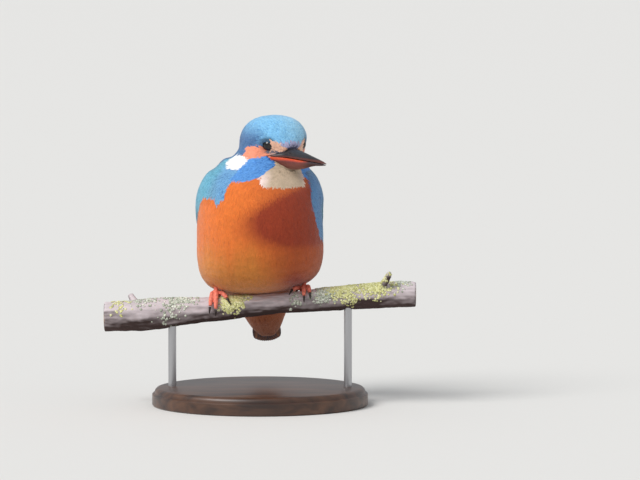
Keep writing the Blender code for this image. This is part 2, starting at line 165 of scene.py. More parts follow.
def addNode(tree, kind, settings=None, links=None):
    # A link comes from a socket, or from a node's first output
    node = tree.nodes.new(kind)
    for key, value in (settings or {}).items():
        if isinstance(key, int) or key in node.inputs:
            node.inputs[key].default_value = value
        else:
            setattr(node, key, value)
    for key, source in (links or {}).items():
        socket = source.outputs[0] if isinstance(source, bpy.types.Node) else source
        tree.links.new(socket, node.inputs[key])
    return node


def newMaterial(name, colour=None, **sockets):
    material = bpy.data.materials.new(name)
    material.use_nodes = True
    tree = material.node_tree
    shader = tree.nodes["Principled BSDF"]
    if colour:
        shader.inputs["Base Color"].default_value = (*hexToLinear(colour), 1.0)
    for key, value in sockets.items():
        shader.inputs[key.replace("_", " ")].default_value = value
    return material, tree, shader


def addRelief(tree, shader, height, strength, depth):
    bump = addNode(tree, "ShaderNodeBump", {"Strength": strength, "Distance": depth * mm}, {"Height": height})
    tree.links.new(bump.outputs[0], shader.inputs["Normal"])


def addPaint(tree, shader, shade):
    # The piece's own paint, made lighter and darker by the shade
    coat = addNode(tree, "ShaderNodeAttribute", {"attribute_name": "coat"})
    tint = addNode(tree, "ShaderNodeVectorMath", {"operation": "SCALE"},
                   {0: coat.outputs["Color"], "Scale": shade})
    tree.links.new(tint.outputs[0], shader.inputs["Base Color"])


# Places are taken from the frame: along the head's own three directions, and from the branch under the bird
def middleOf(nodeName):
    low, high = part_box(nodeName)
    return (low + high) / 2


eyes = {side: middleOf("eye_" + side) for side in sides}
eyeLow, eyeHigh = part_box("eye_left")
eyeRadius = (eyeHigh.z - eyeLow.z) / 2
headLeft = (eyes["left"] - eyes["right"]).normalized()
headUp = (Vector((0, 0, 1)) - headLeft * headLeft.z).normalized()
headFront = headLeft.cross(headUp)
skull = (eyes["left"] + eyes["right"]) / 2 - headFront * 8 * mm + headUp * 0.8 * mm
eyeShift = headUp * 0.25 * mm - headFront * 0.8 * mm      # the balls sit a little behind their solids
eyes = {side: place + eyeShift for side, place in eyes.items()}
perchTop = Vector((0, 2 * mm, 47 * mm))
headAxes = np.array([headFront, headLeft, headUp])


def headOf(points):
    return (np.asarray(points) - np.array(skull)) @ headAxes.T / mm


def bodyOf(points):
    return (np.asarray(points) - np.array(perchTop)) / mm


def fromBody(x, y, z):
    return perchTop + Vector((x, y, z)) * mm


def fromHead(front, left, up):
    return skull + (headFront * front + headLeft * left + headUp * up) * mm


def fromEyes(points):
    # Millimetres to the nearer eye's middle
    return np.min([np.linalg.norm(points - np.array(eye), axis=1) for eye in eyes.values()], axis=0) / mm


def fromBill(points):
    # Millimetres from the bill's root
    return np.linalg.norm(headOf(points) - np.array([15.0, 0.0, -5.5]), axis=1)


# The sun's azimuth is from the camera. Angles are in degrees, the aim is in millimetres from the branch,
# and the distance is in metres.
studio = {
    "distance": 2.0, "lens": 225.0, "elevation": 4.0, "aim": (30.0, 0.0, 35.5),
    "sunAzimuth": -50.0, "sunHeight": 45.0, "sunStrength": 2.7, "sunSoftness": 34.0,
    "skyColour": (0.93, 0.96, 1.0, 1.0), "skyStrength": 0.55, "floorRadius": 45.0,
}


def direction(azimuth, height):
    a, h = math.radians(azimuth), math.radians(height)
    return Vector((math.sin(a) * math.cos(h), -math.cos(a) * math.cos(h), math.sin(h)))


def aimed(name, data, place, outward):
    # A camera or a lamp that looks back along the way it stands out
    item = newObject(name, data)
    item.location = place
    item.rotation_euler = (-outward).to_track_quat("-Z", "Y").to_euler()
    return item


def makeStudio():
    camera = bpy.data.cameras.new("camera")
    camera.lens = studio["lens"]
    camera.clip_end = 200.0
    outward = direction(0.0, studio["elevation"])
    place = fromBody(*studio["aim"]) + outward * studio["distance"]
    scene.camera = aimed("camera", camera, place, outward)

    sun = bpy.data.lights.new("softKey", "SUN")
    sun.energy = studio["sunStrength"]
    sun.angle = math.radians(studio["sunSoftness"])
    aimed("softKey", sun, (0, 0, 0), direction(studio["sunAzimuth"], studio["sunHeight"]))

    world = bpy.data.worlds.new("studioSky")
    world.use_nodes = True
    sky = world.node_tree.nodes["Background"]
    sky.inputs["Color"].default_value = studio["skyColour"]
    sky.inputs["Strength"].default_value = studio["skyStrength"]
    scene.world = world
    scene.view_settings.view_transform = "Standard"

    floor = addPrimitive(bpy.ops.mesh.primitive_circle_add, vertices=64, radius=studio["floorRadius"],
                         fill_type="NGON")
    floor.name = "floor"
    # Matt studio board with a fine tooth, a millimetre across
    material, tree, shader = newMaterial("paleStudioFloor", "#dcdad6", Roughness=0.9)
    tooth = addNode(tree, "ShaderNodeTexNoise", {"Scale": 900.0, "Detail": 2.0})
    addRelief(tree, shader, tooth, 0.05, 0.2)
    floor.data.materials.append(material)


makeStudio()
print("studio ready")


# Markings, with some painted shade and a painted sheen, the same for the skin and for the feathers on it.
# Each zone's stops run from a feather's root to its tip: (share of the length, colour).
zones = {
    "breast": ((0.0, "#c4622a"), (0.5, "#de6c28"), (1.0, "#ea7c30")),
    "belly": ((0.0, "#b8702e"), (0.5, "#d67e30"), (1.0, "#e08c3a")),
    # Painted shade on the breast: its orange darkened to deep rust
    "shadedBreast": ((0.0, "#6c2414"), (0.5, "#8a2816"), (1.0, "#98341c")),
    "undertail": ((0.0, "#7c3e20"), (0.5, "#a85c36"), (1.0, "#b86a40")),
    "mantle": ((0.0, "#0b2036"), (0.55, "#125474"), (0.85, "#1d7898"), (1.0, "#186484")),
    "stripe": ((0.0, "#1a62a8"), (0.5, "#1d93dc"), (0.85, "#3cb6f0"), (1.0, "#54c4f4")),
    "crown": ((0.0, "#68aade"), (0.5, "#6cacde"), (0.7, "#78b8e2"), (0.88, "#8ccaec"), (1.0, "#7cbce4")),
    # The crown's blue with a painted sheen
    "crownSheen": ((0.0, "#7cbae2"), (0.5, "#88c4e8"), (0.8, "#a6daf4"), (1.0, "#94ccee")),
    "nape": ((0.0, "#243868"), (0.5, "#2e4a80"), (0.8, "#3e5f92"), (1.0, "#365386")),
    "forehead": ((0.0, "#7c7ca0"), (0.5, "#9a98ba"), (0.8, "#b6b2d0"), (1.0, "#aaa4c4")),
    "shoulder": ((0.0, "#38688c"), (0.5, "#5486aa"), (0.8, "#70a0c0"), (1.0, "#6092b4")),
    "teal": ((0.0, "#2a6c84"), (0.5, "#4694ae"), (0.85, "#66b2ca"), (1.0, "#58a6c0")),
    "malar": ((0.0, "#2c60aa"), (0.5, "#3c7cc6"), (0.85, "#5a98dc"), (1.0, "#68a6e2")),
    "ear": ((0.0, "#d87858"), (0.5, "#ec8e6e"), (1.0, "#f29c7e")),
    "white": ((0.0, "#ece8e2"), (0.5, "#f4f2ee"), (1.0, "#fbfaf8")),
    # The throat's beige is painted shadow under the bill; throatSide is its pale cream, where the shadow ends
    "throat": ((0.0, "#b09a80"), (0.5, "#c6b094"), (1.0, "#ceb89e")),
    "throatSide": ((0.0, "#e8ccc0"), (0.5, "#f4dcd2"), (1.0, "#fae4dc")),
    "lores": ((0.0, "#d8a284"), (0.5, "#f8c4a8"), (1.0, "#fed2b6")),
    "loralLine": ((0.0, "#544e58"), (0.5, "#68606a"), (1.0, "#7a727a")),
    "gapeFringe": ((0.0, "#b08878"), (0.5, "#c89c90"), (1.0, "#d4aca0")),
    "wing": ((0.0, "#0c2a3c"), (0.5, "#14566e"), (0.8, "#20809c"), (1.0, "#1a6c88")),
    "darkWing": ((0.0, "#0a1c28"), (0.6, "#123c50"), (1.0, "#1c566e")),
}
# A pale spot near the tip of each feather in these zones
spots = {"wing": "#64bcd8", "shoulder": "#8cc2dc", "mantle": "#48a6cc"}
zoneNames = list(zones)
# Where the markings change: heights in millimetres over the branch (the wings' top is measured from the
# skull's middle) and turns in degrees round the body
marks = {
    "headFrom": 55.0, "stripeTop": 62.0, "rumpTop": 8.0, "undertailTop": 12.0, "tailTop": 9.0,
    "darkWingTop": 24.0, "wingTop": -13.5, "wingBack": 110.0, "shoulderBack": 96.0, "darkWingFront": 100.0,
}


def polyline(at, *corners):
    xs, ys = zip(*sorted(corners))
    return np.interp(at, xs, ys)


def roundTheNeck(points):
    # Degrees round the head from the bill, and millimetres above the skull's middle. The axis leans
    # from the skull down to the middle of the breast.
    x, y, z = bodyOf(points).T
    share = smoothStep(60.0, 84.0, z)
    front, left = np.array(headFront), np.array(headLeft)
    offset = np.stack([x - 9.0 * share, y - 3.0 + 6.0 * share], axis=1)
    return np.degrees(np.arctan2(offset @ left[:2], offset @ front[:2])), headOf(points)[:, 2]


def roundTheBody(x, y):
    # Degrees, 0 at the breast and 180 at the back
    return np.degrees(np.arctan2(np.abs(x), -(y - 3.0)))


def inside(across, up, corners):
    # Which points lie in the outline drawn by the corners
    hit = np.zeros(len(across), bool)
    for (x0, y0), (x1, y1) in zip(corners, corners[1:] + corners[:1]):
        crosses = (y0 > up) != (y1 > up)
        hit ^= crosses & (across < (x1 - x0) * (up - y0) / ((y1 - y0) or 1e-9) + x0)
    return hit


def isZone(zone, *names):
    return np.isin(zone, [zoneNames.index(name) for name in names])


# Outlines on the head and neck: degrees from the bill on either side, millimetres above the skull's middle
outlines = {
    "shoulder": [(62, -17), (64, -10), (80, -6), (112, -5.6), (130, -6), (130, -27), (62, -27)],
    "crown": [(0, 20), (190, 20), (190, -16), (125, -16), (118, -9), (112, -5.6), (89.5, -5.6), (93, -4),
              (98, -1.7), (80, -1.4), (72, -1.5), (66, -2.1), (60, -2.5), (50, -2.3), (43, 0.0), (37, 1.2),
              (31, 1.8), (20, -1.0), (11, -1.8), (0, -3.5)],
    "forehead": [(0, 1.6), (12, 1.2), (20, 0.6), (26, 0.9), (20, -1), (11, -1.8), (6, -4.5), (0, -4.5)],
    "ear": [(40, -3.4), (45, -2.8), (52, -2.5), (60, -2.5), (66, -2.1), (72, -1.5), (80, -1.4), (98, -1.7),
            (93, -4), (89.5, -6), (80, -8.5), (66, -9.0), (47, -8.0), (38, -8.0), (33, -6.5)],
    "throat": [(0, -7.5), (18, -7.5), (28, -8), (38, -8), (38, -16.4), (31, -17), (29, -19), (24.5, -20.9),
               (0, -21.3)],
    "lores": [(43, 0.0), (37, 1.2), (31, 1.8), (20, -0.9), (9, -1.9), (8, -3.6), (33, -3.8), (44, -3.0)],
    "loralLine": [(6, -3.2), (19, -3.5), (33, -3.3), (47, -2.4), (46, -4.0), (33, -4.5), (20, -4.9),
                  (6, -4.7)],
    "gapeFringe": [(0, -4.6), (6, -4.7), (20, -4.9), (33, -4.5), (41, -4.2), (39, -6.0), (30, -6.9),
                   (18, -8.2), (0, -8.2)],
    "white": [(112, -5.5), (110.8, -7.1), (103.4, -9.4), (93.6, -11.2), (84, -12.4), (72, -12.8), (67, -12),
              (70, -8.5), (77.6, -7.2), (88.8, -5.8)],
    "malar": [(71, -7.3), (57, -6.2), (47, -5.8), (38, -6.8), (25, -8.8), (20, -10.6), (27, -13), (34, -16.4),
              (44, -17.9), (56, -18.4), (66, -17.5), (67, -13.7), (70, -11.5), (73, -9.4)],
}
# The coverts' front outline, degrees round the breast and height, on the bird's right and left
wingOutline = {
    -1: [(42, 74), (39, 71), (33.5, 66.6), (33.7, 62.8), (35.7, 59), (38.4, 55), (40.4, 53.4), (43.3, 55.3),
         (46, 60.6), (54, 58.7), (65, 55.7), (72, 52), (84, 48), (96, 44), (106, 38), (118, 30), (129, 20),
         (180, 20), (180, 74)],
    1: [(70, 74), (65, 71), (57, 64.8), (53.4, 57.5), (56.2, 50.5), (61, 43.9), (68.5, 38), (82, 36),
        (100, 34), (118, 28), (129, 20), (180, 20), (180, 74)],
}


def zoneOf(points, normals, onWing):
    around, up = roundTheNeck(points)
    squeeze = 2.5 * smoothStep(-12.0, -22.0, up)    # the head's turn crowds the left side of the neck
    aside = np.abs(around) + squeeze * np.maximum(around - 20.0, 0.0)
    x, y, z = bodyOf(points).T
    bodyAround = roundTheBody(x, y)
    zone = np.full(len(points), zoneNames.index("breast"))

    def setZone(name, where):
        zone[where] = zoneNames.index(name)

    # The tail's underside faces forward and lies ahead of the tail's middle
    under = (z < marks["tailTop"]) & (normals[:, 1] < 0.35) & (y < 31.5 + 0.384 * (14.0 - z))
    setZone("undertail", (z < marks["undertailTop"]) & (y > 6.0))
    edge = polyline(z, (-10, 90), (4, 122), (12, 155), (24, 150), (30, 137), (50, 120), (58, 98), (72, 88))
    back = (bodyAround > edge) & ~under
    stripeHalf = polyline(z, (-10, 14), (5, 11), (20, 7.5), (40, 5.5), (56, 4.5), (62, 2.0))
    setZone("mantle", back)
    midline = (np.abs(x - 0.02 * z) < stripeHalf) & (z < marks["stripeTop"])
    setZone("stripe", back & (midline | (z < marks["rumpTop"])))
    for name, corners in outlines.items():
        setZone(name, inside(aside, up, corners) & (z > marks["headFrom"]))
    for side, corners in wingOutline.items():
        framed = inside(bodyAround, z, corners) & (x * side > 0)
        wing = framed & ((bodyAround < marks["wingBack"]) & (up < marks["wingTop"]) | onWing)
        setZone("wing", wing)
        setZone("shoulder", wing & (bodyAround < marks["shoulderBack"]))
    setZone("darkWing", onWing & (z < marks["darkWingTop"]) & (bodyAround > marks["darkWingFront"]))
    return zone


def zoneColour(name, share):
    stops = np.array([[at, *hexToLinear(text)] for at, text in zones[name]])
    return np.array([np.interp(share, stops[:, 0], stops[:, i]) for i in (1, 2, 3)])


def colourAlong(zone, share, points):
    colour = np.zeros((len(zone), 3))
    for number, name in enumerate(zoneNames):
        colour[zone == number] = zoneColour(name, share)
    x, y, z = bodyOf(points).T
    front, left, _ = headOf(points).T
    around, up = roundTheNeck(points)
    bodyAround = roundTheBody(x, y)

    def shift(zoneName, toName, amount):
        amount = (amount * isZone(zone, zoneName))[:, None]
        colour[:] = mixed(colour, zoneColour(toName, share), amount)

    # The breast pales to buff on the belly. Painted shade darkens it to deep rust on its left, across its
    # middle and over the left leg
    low = smoothStep(38.0, 16.0, z + 2.5 * np.sin(x * 0.31) + 1.5 * np.sin(x * 0.83 + 1))
    leftSide = smoothStep(-6.0, 18.0, x + 0.15 * (z - 30.0))
    shift("breast", "belly", low * (1 - 0.75 * leftSide))
    middleShade = smoothStep(-16.0, 5.0, x + 2.5 * np.sin(z * 0.17))
    middleShade *= smoothStep(29.0, 41.0, z) * smoothStep(57.0, 47.0, z - 0.45 * x)
    leftSide *= 0.36 + 0.26 * smoothStep(56.0, 42.0, z)
    shadowOverLeg = 0.35 * np.exp(-((x - 17.0) / 6.0) ** 2 - ((z - 14.0) / 4.5) ** 2)
    shift("breast", "shadedBreast", np.minimum(leftSide + 0.8 * middleShade + shadowOverLeg, 0.92))
    # Painted sheen: the crown paler towards its left and its front
    shift("crown", "crownSheen", smoothStep(-9.0, 7.0, left) * smoothStep(-4.0, 8.0, front))
    shift("crown", "nape", 0.85 * smoothStep(46.0, 86.0, np.abs(around)) * smoothStep(13.0, 1.0, up))
    shift("mantle", "nape", smoothStep(50.0, 62.0, z))
    # Painted shade: the shoulder on the bird's left, away from the sun, deepens to the nape's dark blue
    shift("shoulder", "nape", 0.8 * smoothStep(4.0, 14.0, x))
    shift("shoulder", "malar", 0.5 * smoothStep(-25.0, -18.0, x) * smoothStep(0.0, -6.0, x))
    shift("shoulder", "malar", 0.5 * smoothStep(24.0, 28.0, x))
    # Painted shadow under the bill: the throat keeps its beige in the middle and takes the pale cream at the
    # sides and low down
    shift("throat", "throatSide", smoothStep(16.0, 30.0, np.abs(around)) * smoothStep(-12.0, -18.0, up))
    shift("shoulder", "teal", smoothStep(46.0, 64.0, bodyAround) * smoothStep(4.0, -4.0, x))
    shift("shoulder", "wing", smoothStep(72.0, 98.0, bodyAround))

    # Painted shade round the lids: the crown and the ear patch darken there
    near = fromEyes(points)
    rim = 0.8 * smoothStep(5.9, 4.2, near) * isZone(zone, "crown")
    rim += 0.25 * smoothStep(5.2, 4.2, near) * isZone(zone, "ear")
    return mixed(colour, hexToLinear("#1e2636"), rim[:, None])


# Skin: one closed surface under all the feathers. The cuts keep what lies behind a plane.
skinMake = {
    "nodes": ("trunk", "neck", "head", "wing_right", "wing_left", "bill_upper", "bill_lower", "eye_right",
              "eye_left", "primaries_right", "primaries_left", "tail"),
    "cuts": {"bill": (fromHead(15.0, 0, 0), headFront), "primaries": (fromBody(0, 0, 9), (0, 0, -1)),
             "tail": (fromBody(0, 0, 0), (0, 0, -1))},
    "fatten": 0.35 * mm,      # closes the thin gaps between the solids
    "voxel": 0.62 * mm,
    "steps": 3,      # the skin sinks to its depth in steps, smoothed between
    "flowBlur": 30,
}


def makeShell():
    # The feathers' outer surface: the flesh solids as one, with the bill, tail and wing tips cut short
    copies = []
    for name in skinMake["nodes"]:
        piece = nodeCopy(name)
        kind = name.split("_")[0]
        if kind in skinMake["cuts"]:
            place, ahead = skinMake["cuts"][kind]
            inEditMode(piece, lambda: bpy.ops.mesh.bisect(
                plane_co=place, plane_no=ahead, use_fill=True, clear_outer=True))
        if kind == "eye":
            setPoints(piece, pointsOf(piece) + np.array(eyeShift))
        copies.append(piece)
    shell = joined(copies)
    applyModifier(shell, "DISPLACE", strength=skinMake["fatten"], mid_level=0.0)
    applyModifier(shell, "REMESH", mode="VOXEL", voxel_size=skinMake["voxel"])
    applyModifier(shell, "SMOOTH", factor=0.6, iterations=4)
    # The wing's front edge sinks into the plumage of the neck
    x, _, z = bodyOf(pointsOf(shell)).T
    share = smoothStep(9.0, 15.0, np.abs(x)) * smoothStep(46.0, 54.0, z) * smoothStep(80.0, 72.0, z)
    shoulders = shell.vertex_groups.new(name="shoulders")
    for i in np.flatnonzero(share > 0).tolist():
        shoulders.add([i], float(share[i]), "REPLACE")
    applyModifier(shell, "SMOOTH", factor=0.8, iterations=45, vertex_group="shoulders")
    shell.vertex_groups.clear()
    applyModifier(shell, "DISPLACE", strength=-skinMake["fatten"], mid_level=0.0)
    return shell


def coatDepth(points):
    # How deep the skin lies under the feathers' surface, in millimetres
    z = bodyOf(points)[:, 2]
    face = smoothStep(-8.0, 13.0, headOf(points)[:, 0])
    depth = mixed(1.2, 0.9 - 0.3 * face, smoothStep(64.0, 76.0, z))
    return depth - 0.5 * smoothStep(8.0, 0.0, z)


def makeSkin():
    skin = newObject("skin", shell.data.copy())
    depth = coatDepth(shellPoints)[:, None] * mm
    for _ in range(skinMake["steps"]):
        setPoints(skin, pointsOf(skin) - normalsOf(skin) * depth / skinMake["steps"])
        applyModifier(skin, "SMOOTH", factor=0.5, iterations=1)
    return skin


shell = makeShell()
shellPoints, shellNormals, shellTriangles = pointsOf(shell), normalsOf(shell), trianglesOf(shell)
shellTree = treeOf(shell)
skin = makeSkin()
skinPoints = pointsOf(skin)

# The scutes are bands round the toes and the leg. Their pitch is in degrees round the branch.
legMake = {
    "voxel": 0.2 * mm, "fatten": 0.24 * mm, "thin": 0.1 * mm, "scutes": 0.09 * mm, "pitch": 7.5,
    "colour": "#fa8c76",
}


def makeLegs():
    legs = joined([nodeCopy(part + side) for part in ("leg_", "foot_") for side in sides])
    applyModifier(legs, "DISPLACE", strength=legMake["fatten"], mid_level=0.0)
    applyModifier(legs, "REMESH", mode="VOXEL", voxel_size=legMake["voxel"])
    applyModifier(legs, "SMOOTH", factor=0.6, iterations=3)
    applyModifier(legs, "DISPLACE", strength=-legMake["thin"], mid_level=0.0)
    points, normals = pointsOf(legs), normalsOf(legs)
    x, y, z = bodyOf(points).T
    axis = 2.9 + 0.082 * x      # the branch's middle under the toes
    turn = np.degrees(np.arctan2(-y, z - axis))
    reach = np.hypot(y, z - axis)
    along = np.where(reach > 11.0, z * 7.0, turn)
    band = np.abs(np.sin(np.pi * along / legMake["pitch"])) ** 0.6 - 0.7
    setPoints(legs, points + normals * (band * legMake["scutes"])[:, None])
    return legs


legs = makeLegs()
legTree = treeOf(legs)
print("skin", len(skin.data.polygons), "faces, legs", len(legs.data.polygons))

wingTrees = {}
for side in sides:
    wingCopy = joined([nodeCopy("wing_" + side), nodeCopy("primaries_" + side)])
    wingTrees[side] = treeOf(wingCopy)
    bpy.data.objects.remove(wingCopy)
shellOnWing = np.zeros(len(shellPoints), bool)
for tree in wingTrees.values():
    shellOnWing |= np.array([tree.find_nearest(p, 0.55 * mm)[0] is not None for p in shellPoints.tolist()])
wingShare = shellOnWing.astype(float)      # the same, blurred over the surface, for the lie of the feathers
neighbours = np.bincount(shellTriangles.ravel(), minlength=len(shellPoints))
for _ in range(skinMake["flowBlur"]):
    spread = np.repeat(wingShare[shellTriangles].mean(axis=1), 3)
    wingShare = np.bincount(shellTriangles.ravel(), spread, len(shellPoints)) / np.maximum(neighbours, 1)
faceOnWing = shellOnWing[shellTriangles].any(axis=1)
faceCentres = shellPoints[shellTriangles].mean(axis=1)
faceNormals = unit(shellNormals[shellTriangles].mean(axis=1))
faceZones = zoneOf(faceCentres, faceNormals, faceOnWing)
faceX, _, faceZ = bodyOf(faceCentres).T


# Feathers: thin closed vanes, each from its root on the skin to its tip on the outer surface.
# Along a vane: (share of the length, share of the width). The last row is the tip.
vaneShapes = {
    "soft": ((0.0, 0.5), (0.28, 0.95), (0.58, 1.0), (0.82, 0.68), (1.0, 0.0)),
    "round": ((0.0, 0.4), (0.28, 0.95), (0.55, 1.0), (0.74, 0.96), (0.88, 0.76), (0.965, 0.42), (1.0, 0.0)),
}
featherMake = {
    "tries": 3.0,      # places tried for each square of the spacing
    "patch": 0.003,      # the side of one feather's square in OFBake
    "eyeClear": 1.04, "eyeFlow": 3.3, "eyeLap": 0.3,      # a share of the eye's radius, then millimetres
    "billNear": 12.0, "billClear": 0.25, "loresLift": 0.2,      # millimetres
    "spotFrom": 0.7, "spotTo": 0.95, "spotStrength": 0.55,      # shares of the length, and of the colour
}


def ringFaces(rows, around):
    # Faces between neighbouring rings of corners
    faces = []
    for start in range(0, (rows - 1) * around, around):
        for i in range(around):
            j = (i + 1) % around
            faces.append((start + i, start + j, start + around + j, start + around + i))
    return faces


def meshFromVanes(name, corners, faces, colours, across, along, rootUv):
    # corners: vanes x points x 3. The faces are those of one vane.
    count, size = corners.shape[:2]
    mesh = bpy.data.meshes.new(name)
    loopsOne = np.concatenate([np.array(face) for face in faces])
    totalsOne = np.array([len(face) for face in faces])
    loops = (loopsOne[None] + np.arange(count)[:, None] * size).ravel()
    starts = np.concatenate([[0], np.cumsum(np.tile(totalsOne, count))[:-1]])
    mesh.vertices.add(count * size)
    mesh.vertices.foreach_set("co", corners.astype(np.float32).ravel())
    mesh.loops.add(len(loops))
    mesh.loops.foreach_set("vertex_index", loops.astype(np.int32))
    mesh.polygons.add(len(starts))
    mesh.polygons.foreach_set("loop_start", starts.astype(np.int32))
    mesh.update(calc_edges=True)
    local = np.stack([np.broadcast_to(across, (count, size)), np.broadcast_to(along, (count, size))], axis=-1)
    bake = rootUv[:, None] + (local - 0.5) * featherMake["patch"]
    ends = np.empty(len(mesh.edges) * 2, np.int32)
    mesh.edges.foreach_get("vertices", ends)
    ends = ends.reshape(-1, 2) % size      # a vane's two side edges stay crisp
    side = ends % 3
    crisp = (side[:, 0] == side[:, 1]) & (side[:, 0] != 1)
    crisp |= (ends == size - 1).any(1) & (side == 2).any(1)
    mesh.attributes.new("sharp_edge", "BOOLEAN", "EDGE").data.foreach_set("value", crisp)
    for layerName, uv in (("vane", local), ("OFBake", bake)):
        layer = mesh.uv_layers.new(name=layerName)
        layer.data.foreach_set("uv", uv.reshape(-1, 2)[loops].astype(np.float32).ravel())
    piece = newObject(name, mesh)
    paint(piece, colours.reshape(-1, 3))
    return piece


def treeOfPoints(places):
    tree = KDTree(len(places))
    for i, place in enumerate(places.tolist()):
        tree.insert(place, i)
    tree.balance()
    return tree


def nearestOnShell(points):
    found = [shellTree.find_nearest(p) for p in points.tolist()]
    triangles = np.array([f[2] for f in found])
    return np.array([f[0] for f in found]), unit(shellNormals[shellTriangles[triangles]].mean(axis=1))


def scatter(where, spacing):
    # Roots spread evenly, none closer than the spacing, over the shell's faces where the mask is true
    corner = shellPoints[shellTriangles]
    area = np.linalg.norm(np.cross(corner[:, 1] - corner[:, 0], corner[:, 2] - corner[:, 0]), axis=1) / 2
    area = np.where(where, area, 0.0)
    count = int(area.sum() / spacing ** 2 * featherMake["tries"])
    triangle = dice.choice(len(area), count, p=area / area.sum())
    a, b = dice.random((2, count))
    flip = a + b > 1
    a, b = np.where(flip, 1 - a, a), np.where(flip, 1 - b, b)
    weights = np.stack([1 - a - b, a, b], axis=1)
    places = (corner[triangle] * weights[:, :, None]).sum(axis=1)
    tree = treeOfPoints(places)
    free = np.ones(count, bool)
    chosen = []
    for i, place in enumerate(places.tolist()):
        if free[i]:
            chosen.append(i)
            for _, j, _ in tree.find_range(place, spacing):
                free[j] = False
    return triangle[chosen], weights[chosen]


def blended(values, triangle, weights):
    return (values[shellTriangles[triangle]] * weights[:, :, None]).sum(axis=1)


def underGape(points):
    # Millimetres below the line where the two halves of the bill meet
    front, _, up = headOf(points).T
    return -6.0 - 0.012 * np.maximum(front - 9.0, 0.0) ** 1.3 - up


def widened(points):
    # The horn spreads at its root into the gape, level with the face, and the lower half bellies out
    front, left, _ = headOf(points).T
    spread = 0.62 * smoothStep(16.5, 8.0, front)
    belly = 0.35 * np.maximum(underGape(points), 0.0) * smoothStep(42.0, 26.0, front)
    return points + (np.array(headLeft) * (left * spread)[:, None] - np.array(headUp) * belly[:, None]) * mm


billTrees = []
for name in ("bill_upper", "bill_lower"):
    billCopy = nodeCopy(name)
    setPoints(billCopy, widened(pointsOf(billCopy)))
    billTrees.append(treeOf(billCopy))
    bpy.data.objects.remove(billCopy)


def onBill(points):
    # Where no feather grows: in the horn and close round it
    covered = np.zeros(len(points), bool)
    for tree in billTrees:
        for i, place in enumerate(points.tolist()):
            hit, normal, _, distance = tree.find_nearest(place, 2.0 * mm)
            if hit is not None:
                close = distance < featherMake["billClear"] * mm
                covered[i] |= close or (Vector(place) - hit).dot(normal) < 0
    return covered


billRoot = np.array(fromHead(18.0, 0, -5.0))
wingEnds = {1: np.array(fromBody(3, 50, -26)), -1: np.array(fromBody(-3, 50, -26))}


def alongSurface(flow, normals):
    return unit(flow - normals * (flow * normals).sum(axis=1, keepdims=True))


def flowAt(places, normals, shareOnWing):
    # The way the feathers lie: back from the bill, then down the body, and to the tips on the wings
    x, _, z = bodyOf(places).T
    down = unit(np.stack([0.004 * x, 0.25 + 0.02 * np.maximum(18.0 - z, 0.0), np.full(len(x), -1.0)], axis=1))
    behind = smoothStep(6.0, -10.0, headOf(places)[:, 0])[:, None]
    overHead = unit(places - billRoot) * (1 - 0.85 * behind) + down * behind
    flow = mixed(down, overHead, smoothStep(60.0, 76.0, z)[:, None])
    ends = np.where((x > 0)[:, None], wingEnds[1], wingEnds[-1])
    flow = alongSurface(mixed(flow, unit(ends - places), shareOnWing), normals)
    for eye in eyes.values():      # parts round the eye as water parts round a post
        away = places - np.array(eye)
        distance = np.linalg.norm(away, axis=1, keepdims=True)
        near = np.clip((featherMake["eyeFlow"] * mm / np.maximum(distance, 1e-6)) ** 2, 0.0, 1.0)
        away = alongSurface(away, normals)
        flow = unit(flow - near * (2 * (flow * away).sum(axis=1, keepdims=True) * away - flow) * 0.9)
    return alongSurface(flow, normals)


def roundUnwrap(places, centre, pole, start):
    # Longitude and latitude about a centre inside the body, stretched to fill the square
    offset = unit(places - np.array(centre))
    pole, start = np.array(pole), np.array(start)
    third = np.cross(pole, start)
    turn, tilt = np.arctan2(offset @ third, offset @ start), np.arccos(np.clip(offset @ pole, -1, 1))
    uv = np.stack([turn, tilt], axis=1)
    low, high = uv.min(axis=0), uv.max(axis=0)
    return 0.02 + 0.96 * (uv - low) / np.maximum(high - low, 1e-6)


